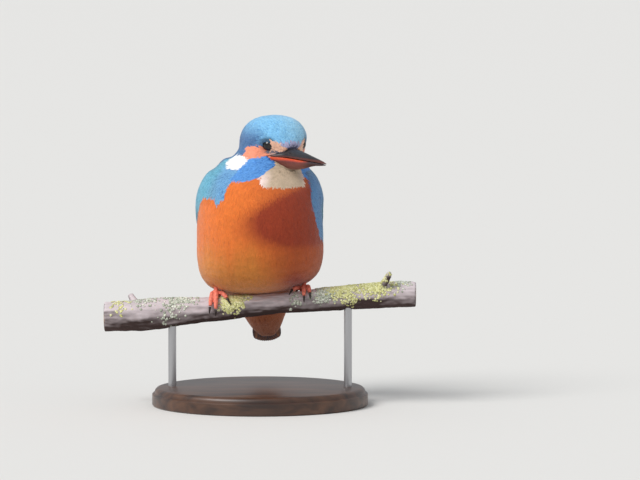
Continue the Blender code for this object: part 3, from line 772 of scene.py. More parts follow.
def layFeathers(name, where, look, material, slotName):
    triangle, weights = scatter(where, look["spacing"] * mm)
    surface = blended(shellPoints, triangle, weights)
    keep = np.ones(len(surface), bool)
    for eye in eyes.values():
        keep &= np.linalg.norm(surface - np.array(eye), axis=1) > eyeRadius * featherMake["eyeClear"]
    near = np.flatnonzero(fromBill(surface) < featherMake["billNear"])
    keep[near] &= ~onBill(surface[near])
    triangle, weights, surface = triangle[keep], weights[keep], surface[keep]
    normals = unit(blended(shellNormals, triangle, weights))
    roots = blended(skinPoints, triangle, weights)
    shareOnWing = blended(wingShare[:, None], triangle, weights)
    if look["unwrap"] == "head":
        rootUv = roundUnwrap(surface, skull, headFront, -headUp)
    else:
        rootUv = roundUnwrap(surface, fromBody(0, 4, 34), (0, 0, -1), (0, look.get("seam", 1), 0))
    count = len(surface)
    flow = flowAt(surface, normals, shareOnWing)
    swerve = np.radians(dice.normal(0, look["swerve"], count))[:, None]
    flow = flow * np.cos(swerve) + np.cross(normals, flow) * np.sin(swerve)
    size = 1.0 + look["vary"] * dice.uniform(-1, 1, (count, 1))
    length = look["length"](surface)[:, None] * mm * size
    width = look["width"](surface)[:, None] * mm * size
    for eye in eyes.values():      # no feather reaches over the eye
        toward = (flow * unit(np.array(eye) - surface)).sum(axis=1, keepdims=True)
        gap = np.linalg.norm(surface - np.array(eye), axis=1, keepdims=True) - eyeRadius
        reach = gap / np.maximum(toward, 0.2) + featherMake["eyeLap"] * mm
        length = np.where(toward > 0.2, np.minimum(length, reach), length)
    tips, tipNormals = nearestOnShell(surface + flow * length)
    ragged = dice.normal(0, look["ragged"] * mm, surface.shape)
    # A feather shows near its tip, so its zone is taken there, but close to an eye nearer its root
    outer = 0.1 + 0.6 * smoothStep(3.6, 5.6, fromEyes(surface))[:, None]
    zone = zoneOf(mixed(surface, tips, outer) + ragged, normals, faceOnWing[triangle])
    lift = look["lift"] * mm * dice.uniform(-0.4, 1.0, (count, 1))
    # Fluffed up before the eye
    lift = lift + featherMake["loresLift"] * mm * isZone(zone, "lores")[:, None]
    tips = tips + tipNormals * lift
    rise = np.linalg.norm(surface - roots, axis=1, keepdims=True)
    middles, _ = nearestOnShell((surface + tips) / 2)
    bulge = ((middles - (surface + tips) / 2) * normals).sum(axis=1, keepdims=True)
    under = np.minimum(look["under"] * mm * dice.uniform(0.7, 1.3, (count, 1)), rise)
    tone = 1.0 + look["tone"] * dice.uniform(-1, 1, (count, 1))
    roll = np.radians(dice.normal(0, look["roll"], count))[:, None]
    hasSpot = isZone(zone, *spots)[:, None]
    spotColour = np.zeros((count, 3))
    for spotZone, text in spots.items():
        spotColour[isZone(zone, spotZone)] = hexToLinear(text)

    def spine(share):
        # Up from the skin, then along under the outer surface, a little higher towards the tip
        place = surface + (tips - surface) * share + normals * 4 * share * (1 - share) * bulge
        deep = under * (1 - share) + (rise + 0.2 * mm - under) * max(0.0, 1 - share / 0.3) ** 2
        return place - mixed(normals, tipNormals, share) * deep

    rows = vaneShapes[look["shape"]]
    corners, colours, across, along = [], [], [], []
    for share, widthShare in rows:
        middle = spine(share)
        ahead = unit(spine(min(share + 0.05, 1.0)) - spine(max(share - 0.05, 0.0)))
        sideways = unit(np.cross(ahead, unit(mixed(normals, tipNormals, share))))
        up = np.cross(sideways, ahead)
        cos, sin = np.cos(roll), np.sin(roll)
        sideways, up = sideways * cos + up * sin, up * cos - sideways * sin
        colour = colourAlong(zone, share, tips) * tone
        if widthShare == 0.0:
            corners.append(middle)
            colours.append(colour)
            across.append(0.5)
            along.append(1.0)
            continue
        inSpot = featherMake["spotFrom"] < share < featherMake["spotTo"]
        spotted = hasSpot * (featherMake["spotStrength"] if inSpot else 0.0)
        half = sideways * width * widthShare / 2
        sink = up * (look["thick"] * mm * widthShare + look["camber"] * width * widthShare)
        corners += [middle - half - sink, middle, middle + half - sink]
        colours += [colour * look["edge"], mixed(colour, spotColour, spotted), colour * look["edge"]]
        across += [0.0, 0.5, 1.0]
        along += [share] * 3
    rings = len(rows) - 1
    last = 3 * rings - 3
    faces = ringFaces(rings, 3) + [(last + i, last + (i + 1) % 3, last + 3) for i in range(3)] + [(2, 1, 0)]
    corners, colours = np.stack(corners, axis=1), np.clip(np.stack(colours, axis=1), 0, 1)
    piece = meshFromVanes(name, corners, faces, colours, np.array(across), np.array(along), rootUv)
    finished(piece, name, slotName, material)
    print(name, count, "feathers,", count * (6 * rings - 2), "triangles")


# Feather: keratin barbs either side of a shaft, with a soft sheen. The barbs run forward from the shaft,
# 0.1 to 0.3 mm apart on the body and about 0.7 mm on the flight feathers. Real ones are finer and would
# not show.
def featherMaterial(name, roughness, sheen, barbs):
    material, tree, shader = newMaterial(
        name, Roughness=roughness, Specular_IOR_Level=0.2, Sheen_Weight=sheen, Sheen_Roughness=0.5,
    )
    vane = addNode(tree, "ShaderNodeUVMap", {"uv_map": "vane"})
    split = addNode(tree, "ShaderNodeSeparateXYZ", {}, {0: vane})
    fromShaft = addNode(tree, "ShaderNodeMath", {"operation": "SUBTRACT", 1: 0.5}, {0: split})
    reach = addNode(tree, "ShaderNodeMath", {"operation": "ABSOLUTE"}, {0: fromShaft})
    slant = addNode(tree, "ShaderNodeMath", {"operation": "SUBTRACT"}, {0: split.outputs[1], 1: reach})
    turns = addNode(tree, "ShaderNodeMath", {"operation": "MULTIPLY", 1: barbs * 6.283}, {0: slant})
    barb = addNode(tree, "ShaderNodeMath", {"operation": "SINE"}, {0: turns})
    place = addNode(tree, "ShaderNodeTexCoord")
    mottle = addNode(tree, "ShaderNodeTexNoise", {"Scale": 420.0, "Detail": 3.0},      # 2.4 mm across
                     {"Vector": place.outputs["Object"]})
    shade = addNode(tree, "ShaderNodeMapRange",
                    {"From Min": 0.3, "From Max": 0.7, "To Min": 0.93, "To Max": 1.07}, {"Value": mottle})
    stripe = addNode(tree, "ShaderNodeMapRange", {"From Min": -1.0, "To Min": 0.9, "To Max": 1.06},
                     {"Value": barb})
    both = addNode(tree, "ShaderNodeMath", {"operation": "MULTIPLY"}, {0: shade, 1: stripe})
    addPaint(tree, shader, both)
    addRelief(tree, shader, barb, 0.35, 0.06)
    return material


def skinMaterial():
    # Living skin under the down: thin, matt, dimpled every millimetre where the quills stand
    material, tree, shader = newMaterial("downySkin", Roughness=0.8, Specular_IOR_Level=0.2)
    place = addNode(tree, "ShaderNodeTexCoord")
    cells = addNode(tree, "ShaderNodeTexVoronoi", {"Scale": 900.0}, {"Vector": place.outputs["Object"]})
    shade = addNode(tree, "ShaderNodeMapRange", {"To Min": 0.75, "To Max": 1.05}, {"Value": cells})
    addPaint(tree, shader, shade)
    addRelief(tree, shader, cells, 0.4, 0.2)
    return material


# The legs join the skin, and keep a colour of their own
skinColours = colourAlong(zoneOf(shellPoints, shellNormals, shellOnWing), 0.5, shellPoints)
skinTree = treeOfPoints(skinPoints)
applyModifier(skin, "BOOLEAN", operation="UNION", object=legs, solver="MANIFOLD")
bpy.data.objects.remove(legs)
nearest = np.array([skinTree.find(p)[1] for p in pointsOf(skin).tolist()])
skinColours = skinColours[nearest]
onLeg = np.array([legTree.find_nearest(p, 0.02 * mm)[0] is not None for p in pointsOf(skin).tolist()])
legShade = np.array([0.86 + 0.28 * noise.noise(Vector(p) * 900) for p in pointsOf(skin)[onLeg].tolist()])
skinColours[onLeg] = hexToLinear(legMake["colour"]) * legShade[:, None]
paint(skin, skinColours)
finished(skin, "skin", "plumage_orange", skinMaterial(), "head", "neck", "trunk", "wing_right", "wing_left",
         "leg_right", "leg_left", "foot_right", "foot_left")

blueFeather = featherMaterial("structuralBlueFeather", 0.55, 0.2, 26.0)
downFeather = featherMaterial("looseBodyFeather", 0.75, 0.3, 26.0)


def grades(start, change, low, high, measure):
    # A size in millimetres that changes from one part of the body to another
    return lambda places: start + change * smoothStep(low, high, measure(places))


def flat(value):
    return lambda places: np.full(len(places), float(value))


def heightOf(places):
    return bodyOf(places)[:, 2]


# Spacing, length, width, lift, depth under the surface, thickness and ragged edges are in millimetres, swerve
# and roll in degrees. Camber is a share of the width, and edge, vary and tone are shares too.
softVane = {"shape": "soft", "thick": 0.025, "camber": 0.02, "under": 0.1, "edge": 0.98}
firmVane = {"shape": "round", "thick": 0.04, "camber": 0.04, "under": 0.2, "edge": 0.9, "unwrap": "body"}
crownLook = {
    **softVane, "spacing": 0.46, "length": grades(2.0, 1.9, 4.0, 22.0, fromBill),
    "width": grades(0.78, 0.3, 4.0, 22.0, fromBill), "lift": 0.03, "swerve": 8.0, "roll": 3.0,
    "vary": 0.2, "tone": 0.08, "ragged": 0.3, "unwrap": "head",
}
faceLook = {
    **softVane, "spacing": 0.3, "length": grades(1.4, 2.4, 5.0, 20.0, fromBill),
    "width": grades(0.4, 0.32, 5.0, 16.0, fromBill), "lift": 0.04, "swerve": 9.0, "roll": 4.0,
    "vary": 0.25, "tone": 0.04, "ragged": 0.15, "unwrap": "head",
}
breastLook = {
    **softVane, "spacing": 0.42, "length": grades(4.6, 2.2, 66.0, 30.0, heightOf),
    "width": grades(0.76, 0.14, 66.0, 30.0, heightOf), "lift": 0.05, "under": 0.12, "edge": 0.99,
    "swerve": 8.0, "roll": 4.0, "vary": 0.2, "tone": 0.05, "ragged": 0.4, "unwrap": "body",
}
backLook = {
    **firmVane, "spacing": 0.74, "length": grades(4.6, 3.4, 24.0, 4.0, heightOf), "width": flat(1.7),
    "lift": 0.08, "swerve": 6.0, "roll": 3.0, "vary": 0.15, "tone": 0.12, "ragged": 0.4, "seam": -1,
}
wingLook = {
    **firmVane, "spacing": 0.66, "length": grades(3.4, 4.4, 60.0, 34.0, heightOf),
    "width": grades(1.1, 1.5, 62.0, 34.0, heightOf), "lift": 0.07, "swerve": 5.0, "roll": 3.0,
    "vary": 0.12, "tone": 0.08, "ragged": 0.1,
}
shoulderLook = {
    **wingLook, "spacing": 0.46, "length": flat(3.4), "width": flat(0.95), "shape": "soft", "lift": 0.04,
    "under": 0.12, "thick": 0.03, "camber": 0.02, "tone": 0.1, "swerve": 7.0,
}


def inZones(*names):
    return isZone(faceZones, *names)


breast = inZones("breast")
shoulder = inZones("shoulder")
coverts = inZones("wing", "darkWing") | (shoulder & (faceZ < 45.5))
faceMarks = inZones("ear", "white", "throat", "lores", "loralLine", "gapeFringe")
bellyLook = {**breastLook, "spacing": 0.52}
undertailLook = {**breastLook, "spacing": 0.6}
coat = [
    ("crownFeathers", inZones("crown", "forehead"), crownLook, blueFeather, "plumage_blue"),
    ("faceFeathers", faceMarks, faceLook, downFeather, "plumage_white"),
    ("malarFeathers", inZones("malar"), {**faceLook, "spacing": 0.34}, blueFeather, "plumage_blue"),
    ("breastFeathers", breast & (faceZ > 42.0), breastLook, downFeather, "plumage_orange"),
    ("flankFeathers", breast & (faceZ <= 42.0) & (faceZ > 24.0), breastLook, downFeather, "plumage_orange"),
    ("bellyFeathers", breast & (faceZ <= 24.0), bellyLook, downFeather, "plumage_orange"),
    ("undertailFeathers", inZones("undertail"), undertailLook, downFeather, "plumage_orange"),
    ("backFeathers", inZones("mantle", "stripe"), backLook, blueFeather, "plumage_blue"),
]
for side, onSide in (("Right", faceX < 0), ("Left", faceX > 0)):
    high = shoulder & (faceZ > 44.0) & onSide
    coat.append(("shoulderFeathers" + side, high, shoulderLook, blueFeather, "plumage_teal"))
    coat.append(("wingFeathers" + side, coverts & onSide, wingLook, blueFeather, "plumage_teal"))
for piece in coat:
    layFeathers(*piece)


# Flight and tail feathers: stiff vanes with a raised shaft. Each ring has two edges, three points above
# and one below, placed by shares of the half width and by millimetres up.
ringAcross = np.array([-1.0, -0.5, 0.0, 0.5, 1.0, 0.0])
ringUp = np.array([0.0, 0.09, 0.26, 0.09, 0.0, -0.12]) * mm
# The tip's round end is a share of the length, and its last width a share of the width
stiffMake = {"rows": 14, "crowding": 1.35, "tip": 0.16, "tipWidth": 0.06}


def vaneRows():
    # Shares of the length, closer towards the tip, and the share of the width at each
    rows, tip = [], stiffMake["tip"]
    for i in range(stiffMake["rows"] + 1):
        share = 1 - (1 - i / stiffMake["rows"]) ** stiffMake["crowding"]
        rounding = math.sqrt(max(1 - (max(share - 1 + tip, 0) / tip) ** 2, 0.0))
        rows.append((share, max(rounding, stiffMake["tipWidth"])))
    return np.array(rows).T


def stiffVanes(name, spines, ups, width, bend, shades, onMiddle, nodeName):
    # spines and ups: vanes x rows x 3. The shades are for the edge, the middle and beneath.
    count, rows = spines.shape[:2]
    shares, narrow = vaneRows()
    ahead = np.gradient(spines, axis=1)
    sideways = unit(np.cross(unit(ahead), ups))
    ups = np.cross(sideways, unit(ahead))
    half = np.full((count, 1), width) * narrow[None] * 0.5 * mm
    corners = spines[:, :, None] + sideways[:, :, None] * ringAcross[:, None] * half[:, :, None, None]
    droop = ringUp[:, None] * (0.35 + 0.65 * (1 - shares))[:, None, None]
    corners = corners + ups[:, :, None] * (droop[None] - bend * mm * (ringAcross ** 2)[:, None])
    faces = ringFaces(rows, 6) + [tuple(range(5, -1, -1)), tuple(6 * rows - 6 + i for i in range(6))]
    across = (ringAcross + 1) / 2
    edge, middle, beneath = (hexToLinear(text) for text in shades)
    colours = np.where(onMiddle(across)[:, None], middle, edge)
    colours[ringUp < 0] = beneath
    rootUv = np.stack([0.1 + 0.8 * np.arange(count) / count, np.full(count, 0.5)], axis=1)
    piece = meshFromVanes(name, corners.reshape(count, -1, 3), faces, np.tile(colours, (count, rows, 1)),
                          np.tile(across, rows), np.repeat(shares, 6), rootUv)
    finished(piece, name, "flight_feathers", flightFeather, nodeName)


flightFeather = featherMaterial("stiffFlightFeather", 0.4, 0.1, 60.0)
# Millimetres and degrees. The feathers' middles spread from the root to the tip.
tailMake = {
    "root": (0.6, 31.0, 14.0), "lean": 21.0, "swing": 4.5, "length": 36.0, "width": 4.4, "pairs": 6,
    # The shades are the edge, the middle and beneath. The pale brown beneath is painted light, paler where
    # the tail lies in shade
    "spread": (1.6, 5.8), "bend": 0.25, "shades": ("#54505a", "#1d4f8c", "#b88062"),
}


def makeTail():
    lean, swing = math.radians(tailMake["lean"]), math.radians(tailMake["swing"])
    down = unit(np.array([math.sin(swing) * math.cos(lean), math.sin(lean), -math.cos(lean)]))
    aside = unit(np.array([1.0, 0.0, math.tan(swing)]))
    outward = np.cross(aside, down)
    root = np.array(fromBody(*tailMake["root"]))
    narrow, wide = tailMake["spread"]
    shares, _ = vaneRows()
    spines, ups = [], []
    for w in np.linspace(-1, 1, 2 * tailMake["pairs"]):      # the middle pair lies on top
        length = tailMake["length"] * (1 - 0.07 * w * w)
        sideStep = (narrow + (wide - narrow) * shares) * w
        level = 0.75 - 1.1 * abs(w) - 1.1 * w * w * shares
        step = down * (shares * length)[:, None] + aside * sideStep[:, None] + outward * level[:, None]
        spines.append(root + step * mm)
        ups.append(np.tile(unit(outward + aside * w * 0.25), (len(shares), 1)))
    stiffVanes("tailFeathers", np.array(spines), np.array(ups), tailMake["width"], tailMake["bend"],
               tailMake["shades"], lambda across: np.abs(across - 0.5) < 0.4, "tail")


# Turns are degrees round the body and heights millimetres. Each pair is for the innermost feather, at the
# back, and for the longest primary.
flightMake = {
    "feathers": 11, "width": 4.6, "bend": 0.1, "shades": ("#14181e", "#1d6484", "#2a2624"),
    "startTurn": (158.0, 118.0), "endTurn": (163.0, 158.0),
    "startHeight": (40.0, 32.0), "endHeight": (16.0, -4.5),
}


def makeFlight(side):
    sign = -1 if side == "right" else 1
    tree = wingTrees[side]
    shares, _ = vaneRows()
    count = flightMake["feathers"]

    def between(key, rank):
        first, last = flightMake[key]
        return first + (last - first) * rank

    spines, ups = [], []
    for i in range(count):
        rank = i / (count - 1)
        startTurn, endTurn = between("startTurn", rank), between("endTurn", rank)
        startZ, endZ = between("startHeight", rank), between("endHeight", rank ** 0.8)
        line, up = [], []
        for share in shares:
            z = startZ + (endZ - startZ) * share
            turn = math.radians(startTurn + (endTurn - startTurn) * share ** 1.2)
            drift = 0.42 * max(14.0 - z, 0.0)
            outward = Vector((sign * math.sin(turn), -math.cos(turn), 0.0))
            middle = fromBody(0, 3 + drift, z)
            hit = tree.ray_cast(middle + outward * 60 * mm, -outward)[0]
            if hit is None:
                hit = tree.find_nearest(middle + outward * 34 * mm)[0]
            raised = 0.25 + 0.10 * (count - 1 - i) - 0.2 * (1 - share)      # the inner feathers lie on top
            line.append(np.array(hit) + np.array(outward) * raised * mm)
            up.append(np.array(outward))
        line = np.array(line)
        for _ in range(3):
            line[1:-1] = (line[:-2] + 2 * line[1:-1] + line[2:]) / 4
        spines.append(line)
        ups.append(up)
    stiffVanes("flight" + side.capitalize(), np.array(spines), np.array(ups), flightMake["width"],
               flightMake["bend"], flightMake["shades"], lambda across: sign * (0.5 - across) > 0.1,
               "primaries_" + side)


makeTail()
makeFlight("right")
makeFlight("left")
print("tail and flight feathers ready")


def paintedMaterial(name, bumpScale, bumpDepth, stretch=(1.0, 1.0, 1.0), **sockets):
    # Colour from the piece's own paint, with fine grain from noise over the object
    material, tree, shader = newMaterial(name, **sockets)
    place = addNode(tree, "ShaderNodeTexCoord")
    scaled = addNode(tree, "ShaderNodeVectorMath", {"operation": "MULTIPLY", 1: stretch},
                     {0: place.outputs["Object"]})
    grain = addNode(tree, "ShaderNodeTexNoise", {"Scale": bumpScale, "Detail": 4.0}, {"Vector": scaled})
    shade = addNode(tree, "ShaderNodeMapRange",
                    {"From Min": 0.25, "From Max": 0.75, "To Min": 0.82, "To Max": 1.15}, {"Value": grain})
    addPaint(tree, shader, shade)
    addRelief(tree, shader, grain, 0.5, bumpDepth)
    return material


# Eyes: a wet dark ball in a ring of bare lid. Lengths are in millimetres.
eyeMake = {
    "setBack": 0.3, "lidOut": 1.1, "lidRadius": 2.95, "lidThick": 0.24, "folds": 14, "foldDepth": 0.05,
    "iris": "#1c0f0a", "pupil": "#020203", "pupilFrom": 0.83,      # its edge, as a share of the radius
}
# Cornea: clear and wet over a near-black eye
wetEye, eyeTree, eyeShader = newMaterial("wetEye", Roughness=0.13, Specular_IOR_Level=0.55)
eyeCoat = addNode(eyeTree, "ShaderNodeAttribute", {"attribute_name": "coat"})
eyeTree.links.new(eyeCoat.outputs["Color"], eyeShader.inputs["Base Color"])
# Bare skin: dark, and a little greasy at the rim
bareLid, _, _ = newMaterial("bareLid", "#3a3230", Roughness=0.5)


def makeEye(side):
    outward = (headLeft * (1 if side == "left" else -1) + headFront * 0.3).normalized()
    facing = outward.to_track_quat("Z", "Y").to_euler()
    centre = eyes[side] - outward * eyeMake["setBack"] * mm
    ball = addPrimitive(bpy.ops.mesh.primitive_uv_sphere_add, segments=48, ring_count=32, radius=eyeRadius,
                        location=centre, rotation=facing)
    height = (pointsOf(ball) - np.array(centre)) @ np.array(outward)
    inner = (height > eyeRadius * eyeMake["pupilFrom"])[:, None]
    paint(ball, np.where(inner, hexToLinear(eyeMake["pupil"]), hexToLinear(eyeMake["iris"])))
    finished(ball, "eyeball" + side.capitalize(), "eye", wetEye, "eye_" + side)

    lid = addPrimitive(
        bpy.ops.mesh.primitive_torus_add, major_segments=48, minor_segments=12,
        major_radius=eyeMake["lidRadius"] * mm, minor_radius=eyeMake["lidThick"] * mm,
        location=centre + outward * eyeMake["lidOut"] * mm, rotation=facing,
    )
    points = pointsOf(lid)
    offset = points - np.array(centre)
    turn = np.arctan2(offset @ np.array(headUp), offset @ np.array(headFront))
    fold = eyeMake["foldDepth"] * mm * np.cos(eyeMake["folds"] * turn)
    setPoints(lid, points + np.array(outward) * fold[:, None])
    finished(lid, "lid" + side.capitalize(), "eye", bareLid)


# Bill: the upper half is black with a red cutting edge, the lower half red above, with painted shade darker
# beneath.
# The nostril is a slit on each side, placed in millimetres along the head's front, left and up.
billMake = {
    "voxel": 0.22 * mm,
    "upper": "#262428", "upperTip": "#1a181c", "cuttingEdge": "#7a3420",
    "lower": "#d4502a", "beneath": "#703a34", "lowerTip": "#3a2c30",
    "nostril": (19.6, 3.6, -4.2), "nostrilDepth": 0.5, "nostrilSize": 0.55, "nostrilShape": (0.5, 1.0, 1.9),
}
# Horn: hard keratin, worn smooth and grained along its length
horn = paintedMaterial("polishedHorn", 500.0, 0.05, (1.0, 1.0, 2.5), Roughness=0.4, Specular_IOR_Level=0.4)
clawHorn, _, _ = newMaterial("clawHorn", "#2a1c1a", Roughness=0.35)


def makeBill(part, slotName):
    bill = nodeCopy("bill_" + part)
    applyModifier(bill, "REMESH", mode="VOXEL", voxel_size=billMake["voxel"])
    applyModifier(bill, "SMOOTH", factor=0.6, iterations=5)
    points = pointsOf(bill)
    places = headOf(points)
    tip = smoothStep(28.0, 38.0, places[:, 0])[:, None]
    drop = underGape(points)
    if part == "upper":
        edge = 0.4 * smoothStep(-0.9, -0.3, drop)[:, None]
        colour = mixed(hexToLinear(billMake["upper"]), hexToLinear(billMake["upperTip"]), tip)
        colour = mixed(colour, hexToLinear(billMake["cuttingEdge"]), edge)
        front, left, up = billMake["nostril"]
        for sign in (-1, 1):
            reach = (places - np.array([front, sign * left, up])) * np.array(billMake["nostrilShape"])
            dent = np.exp(-(np.linalg.norm(reach, axis=1) / billMake["nostrilSize"]) ** 2)[:, None]
            points -= np.array(headLeft) * sign * dent * billMake["nostrilDepth"] * mm
            # Painted shade: the nostril's shallow dent is darkened as the slit's hollow would be
            colour = colour * (1 - 0.8 * dent)
    else:
        # Painted shade: the lower half darkens on its underside
        below = smoothStep(0.7, 1.7, drop)[:, None]
        colour = mixed(hexToLinear(billMake["lower"]), hexToLinear(billMake["beneath"]), below)
        colour = mixed(colour, hexToLinear(billMake["lowerTip"]), tip)
    setPoints(bill, widened(points))
    paint(bill, colour)
    finished(bill, "bill" + part.capitalize(), slotName, horn, "bill_" + part)


makeEye("right")
makeEye("left")
makeBill("upper", "horn_black")
makeBill("lower", "horn_red")
for side in sides:
    clawNames = [f"claw_{side}_{toe}" for toe in ("middle", "outer", "inner", "hind")]
    claws = joined([nodeCopy(name) for name in clawNames])
    applyModifier(claws, "SUBSURF", levels=2, render_levels=2)
    finished(claws, "claws" + side.capitalize(), "claw_horn", clawHorn, *clawNames)
print("eyes, bill and claws ready")


# Branch: ridged bark with cut ends, and crusts of lichen. Each patch of lichen: place along the branch, turn
# forward from its top in degrees, half the spread, lobes and kind.
barkMake = {
    "voxel": 0.55 * mm, "ridge": 0.5, "seat": 0.2,     # millimetres
    "dark": "#483937", "pale": "#c8bcbe", "wood": "#b08d62",
}
lichenMake = {
    "patches": ((-13.0, 32.0, 7.0, 560, "yellow"), (-15.0, 74.0, 6.0, 260, "yellow"),
                (40.0, 22.0, 10.0, 760, "yellow"), (32.0, 48.0, 5.0, 300, "grey"),
                (58.0, 26.0, 10.0, 620, "yellow"), (70.0, 0.0, 7.0, 150, "grey"),
                (-58.0, 10.0, 9.0, 140, "grey"), (-40.0, 25.0, 8.0, 240, "grey"),
                (-70.0, 30.0, 6.0, 70, "yellow"), (18.0, 70.0, 4.0, 40, "grey"),
                (45.0, 90.0, 6.0, 50, "yellow"), (-45.0, 100.0, 7.0, 60, "grey")),
    "yellow": ("#d4d294", "#e2e0b0", "#c4c284"), "grey": ("#c2c6b6", "#d6d8ca", "#aab09e"),
    "size": (0.3, 0.85), "height": (0.1, 0.3), "end": 76,      # millimetres
}
# Dead bark: dry, rough and matt, with grain drawn out along the branch
bark = paintedMaterial("roughBark", 260.0, 0.5, (0.35, 1.0, 1.0), Roughness=0.9, Specular_IOR_Level=0.2)
# Lichen: a dry crust with grains under a millimetre
lichenCrust = paintedMaterial("lichenCrust", 1500.0, 0.15, Roughness=0.95, Specular_IOR_Level=0.1)


def makePerch():
    perch = nodeCopy("perch")
    low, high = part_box("perch")
    applyModifier(perch, "REMESH", mode="VOXEL", voxel_size=barkMake["voxel"])
    applyModifier(perch, "SMOOTH", factor=0.5, iterations=8)
    points, normals = pointsOf(perch), normalsOf(perch)
    onEnd = np.abs(normals[:, 0]) > 0.75
    relief, tone = np.zeros(len(points)), np.zeros(len(points))
    for i, (x, y, z) in enumerate((points / mm).tolist()):
        ridge = noise.noise(Vector((x * 0.07, y * 0.42, z * 0.42)))
        fine = noise.noise(Vector((x * 0.35, y * 0.9, z * 0.9)))
        knot = noise.noise(Vector((x * 0.045 + 7, y * 0.1, z * 0.1)))
        ridges = barkMake["ridge"] * (abs(ridge) * 1.2 - 0.25)
        relief[i] = barkMake["seat"] + ridges + 0.18 * fine + 0.5 * knot
        tone[i] = 0.5 + 0.9 * abs(ridge) + 0.35 * fine
    relief[onEnd] *= 0.15
    setPoints(perch, points + normals * relief[:, None] * mm)
    dark = hexToLinear(barkMake["dark"])
    paintedLightAndShade = 0.58 + 0.85 * normals[:, 2] + 0.6 * (tone - 0.8)      # painted light above and painted shade beneath, paler on the raised ridges
    colour = mixed(dark, hexToLinear(barkMake["pale"]), np.clip(paintedLightAndShade, 0, 1)[:, None])
    for end in (low.x, high.x):       # growth rings where the branch was cut
        face = onEnd & (np.abs(points[:, 0] - end) < 1.5 * mm)
        centre = points[face].mean(axis=0)
        reach = np.linalg.norm(points[face][:, 1:] - centre[1:], axis=1) / mm
        ring = (0.5 + 0.5 * np.sin(reach * 5.5))[:, None]
        colour[face] = hexToLinear(barkMake["wood"]) * (0.75 + 0.25 * ring)
        colour[np.flatnonzero(face)[reach > reach.max() - 0.9]] = dark
    paint(perch, colour)
    finished(perch, "branchBark", "bark", bark, "perch")
    return perch


def makeLichen(perch):
    # Each lobe is a low ring of eight corners with a domed top, half sunk in the bark
    tree = treeOf(perch)
    shades = np.r_[0.7, np.full(8, 0.88), np.full(9, 1.0)][:, None]      # painted shade: darker where it meets the bark
    corners, colours = [], []
    for x, turn, spread, count, kind in lichenMake["patches"]:
        for _ in range(count):
            px = x + dice.normal(0, spread * 0.45)
            pTurn = math.radians(turn + dice.normal(0, 26.0))
            if abs(px) > lichenMake["end"]:
                continue
            outward = Vector((0, -math.sin(pTurn), math.cos(pTurn)))
            start = fromBody(px, 0, 3.2 + px * 0.07) + outward * 20 * mm
            hit, normal, _, _ = tree.ray_cast(start, -outward)
            if hit is None:
                continue
            first = normal.cross(Vector((1, 0, 0))).normalized()
            second = normal.cross(first)
            size = dice.uniform(*lichenMake["size"]) * mm
            height = dice.uniform(*lichenMake["height"]) * mm
            lobe = [hit - normal * 0.2 * mm]
            for level, reach in ((0.0, 1.0), (1.0, 0.6)):
                for corner in range(8):
                    a = corner * math.pi / 4
                    wobble = 1 + 0.16 * math.sin(a * 3 + px * 5) + 0.1 * math.sin(a * 2 - px * 9)
                    aside = (first * math.cos(a) + second * math.sin(a)) * size * reach * wobble
                    lobe.append(hit + aside + normal * height * level)
            lobe.append(hit + normal * height * 1.15)
            corners.append([tuple(v) for v in lobe])
            base = hexToLinear(lichenMake[kind][int(dice.integers(3))]) * dice.uniform(0.85, 1.1)
            colours.append(base * shades)
    faces = []
    for i in range(8):
        j = (i + 1) % 8
        faces += [(0, 1 + j, 1 + i), (1 + i, 1 + j, 9 + j, 9 + i), (9 + i, 9 + j, 17)]
    flatUv = np.full(18, 0.5)
    piece = meshFromVanes("lichen", np.array(corners), faces, np.array(colours), flatUv, flatUv,
                          np.full((len(corners), 2), 0.5))
    finished(piece, "lichen", "bark", lichenCrust)
    print("lichen", len(corners), "lobes")


makeLichen(makePerch())


# Stand: a turned wooden base and two steel rods. The base's edge, in millimetres: outward from its full
# radius, and down from its top.
baseMake = {
    "foot": (-0.6, 0.6),      # a small bevel round the bottom: inward, and up
    "edge": ((0.0, 3.4), (-0.35, 3.0), (-1.2, 2.6), (-1.3, 1.8), (-1.6, 1.1), (-2.4, 0.35), (-3.8, 0.0)),
    "figure": ((0.35, "#2e1c14"), (0.68, "#5e3e2a")),
}


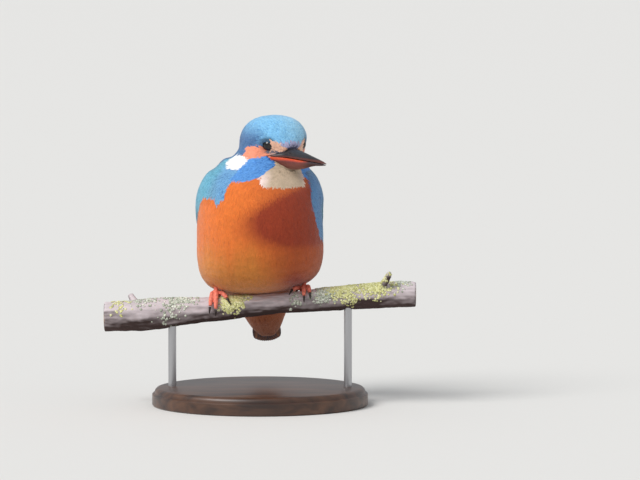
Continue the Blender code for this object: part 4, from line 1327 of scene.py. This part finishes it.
def walnutMaterial():
    # Walnut, turned, sanded and oiled: dark figure 6 mm across, drawn out along the plank, under a thin sheen
    material, tree, shader = newMaterial("oiledWalnut", Roughness=0.42, Coat_Weight=0.25, Coat_Roughness=0.3)
    place = addNode(tree, "ShaderNodeTexCoord")
    stretch = addNode(tree, "ShaderNodeVectorMath", {"operation": "MULTIPLY", 1: (0.16, 1.0, 1.0)},
                      {0: place.outputs["Object"]})
    figure = addNode(tree, "ShaderNodeTexNoise", {"Scale": 160.0, "Detail": 5.0, "Distortion": 0.6},
                     {"Vector": stretch})
    ramp = addNode(tree, "ShaderNodeValToRGB", {}, {0: figure})
    for stop, (position, text) in zip(ramp.color_ramp.elements, baseMake["figure"]):
        stop.position = position
        stop.color = (*hexToLinear(text), 1.0)
    tree.links.new(ramp.outputs[0], shader.inputs["Base Color"])
    addRelief(tree, shader, figure, 0.15, 0.1)
    return material


def makeBase():
    low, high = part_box("stand_base")
    radius, thick = (high.x - low.x) / 2, (high.z - low.z) / mm
    inward, lift = baseMake["foot"]
    start = radius + inward * mm
    base = addPrimitive(bpy.ops.mesh.primitive_circle_add, vertices=192, radius=start, fill_type="NGON")

    def turnEdge():
        reach, height = start, 0.0
        for inset, level in [(0.0, lift)] + [(inset, thick - drop) for inset, drop in baseMake["edge"]]:
            wider = (radius + inset * mm) / reach
            bpy.ops.mesh.extrude_region_move(TRANSFORM_OT_translate={"value": (0, 0, level * mm - height)})
            bpy.ops.transform.resize(value=(wider, wider, 1))
            reach, height = reach * wider, level * mm
        bpy.ops.mesh.select_all(action="SELECT")
        bpy.ops.mesh.normals_make_consistent(inside=False)

    inEditMode(base, turnEdge)
    finished(base, "turnedBase", "base_wood", walnutMaterial(), "stand_base")
    only(base)
    bpy.ops.object.shade_smooth_by_angle(angle=math.radians(35))


def makeRods():
    # Steel: brushed along its length, a soft bright metal
    steel, _, _ = newMaterial("brushedSteel", "#b8b8ba", Metallic=1.0, Roughness=0.32)
    for side in sides:
        low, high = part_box("stand_rod_" + side)
        rod = addPrimitive(bpy.ops.mesh.primitive_cylinder_add, vertices=48, radius=(high.x - low.x) / 2,
                           depth=high.z - low.z, location=(low + high) / 2)
        finished(rod, "rod" + side.capitalize(), "rod", steel, "stand_rod_" + side)
        only(rod)
        bpy.ops.object.shade_smooth_by_angle(angle=math.radians(40))


makeBase()
makeRods()
print("branch and stand ready")

bpy.data.objects.remove(shell)
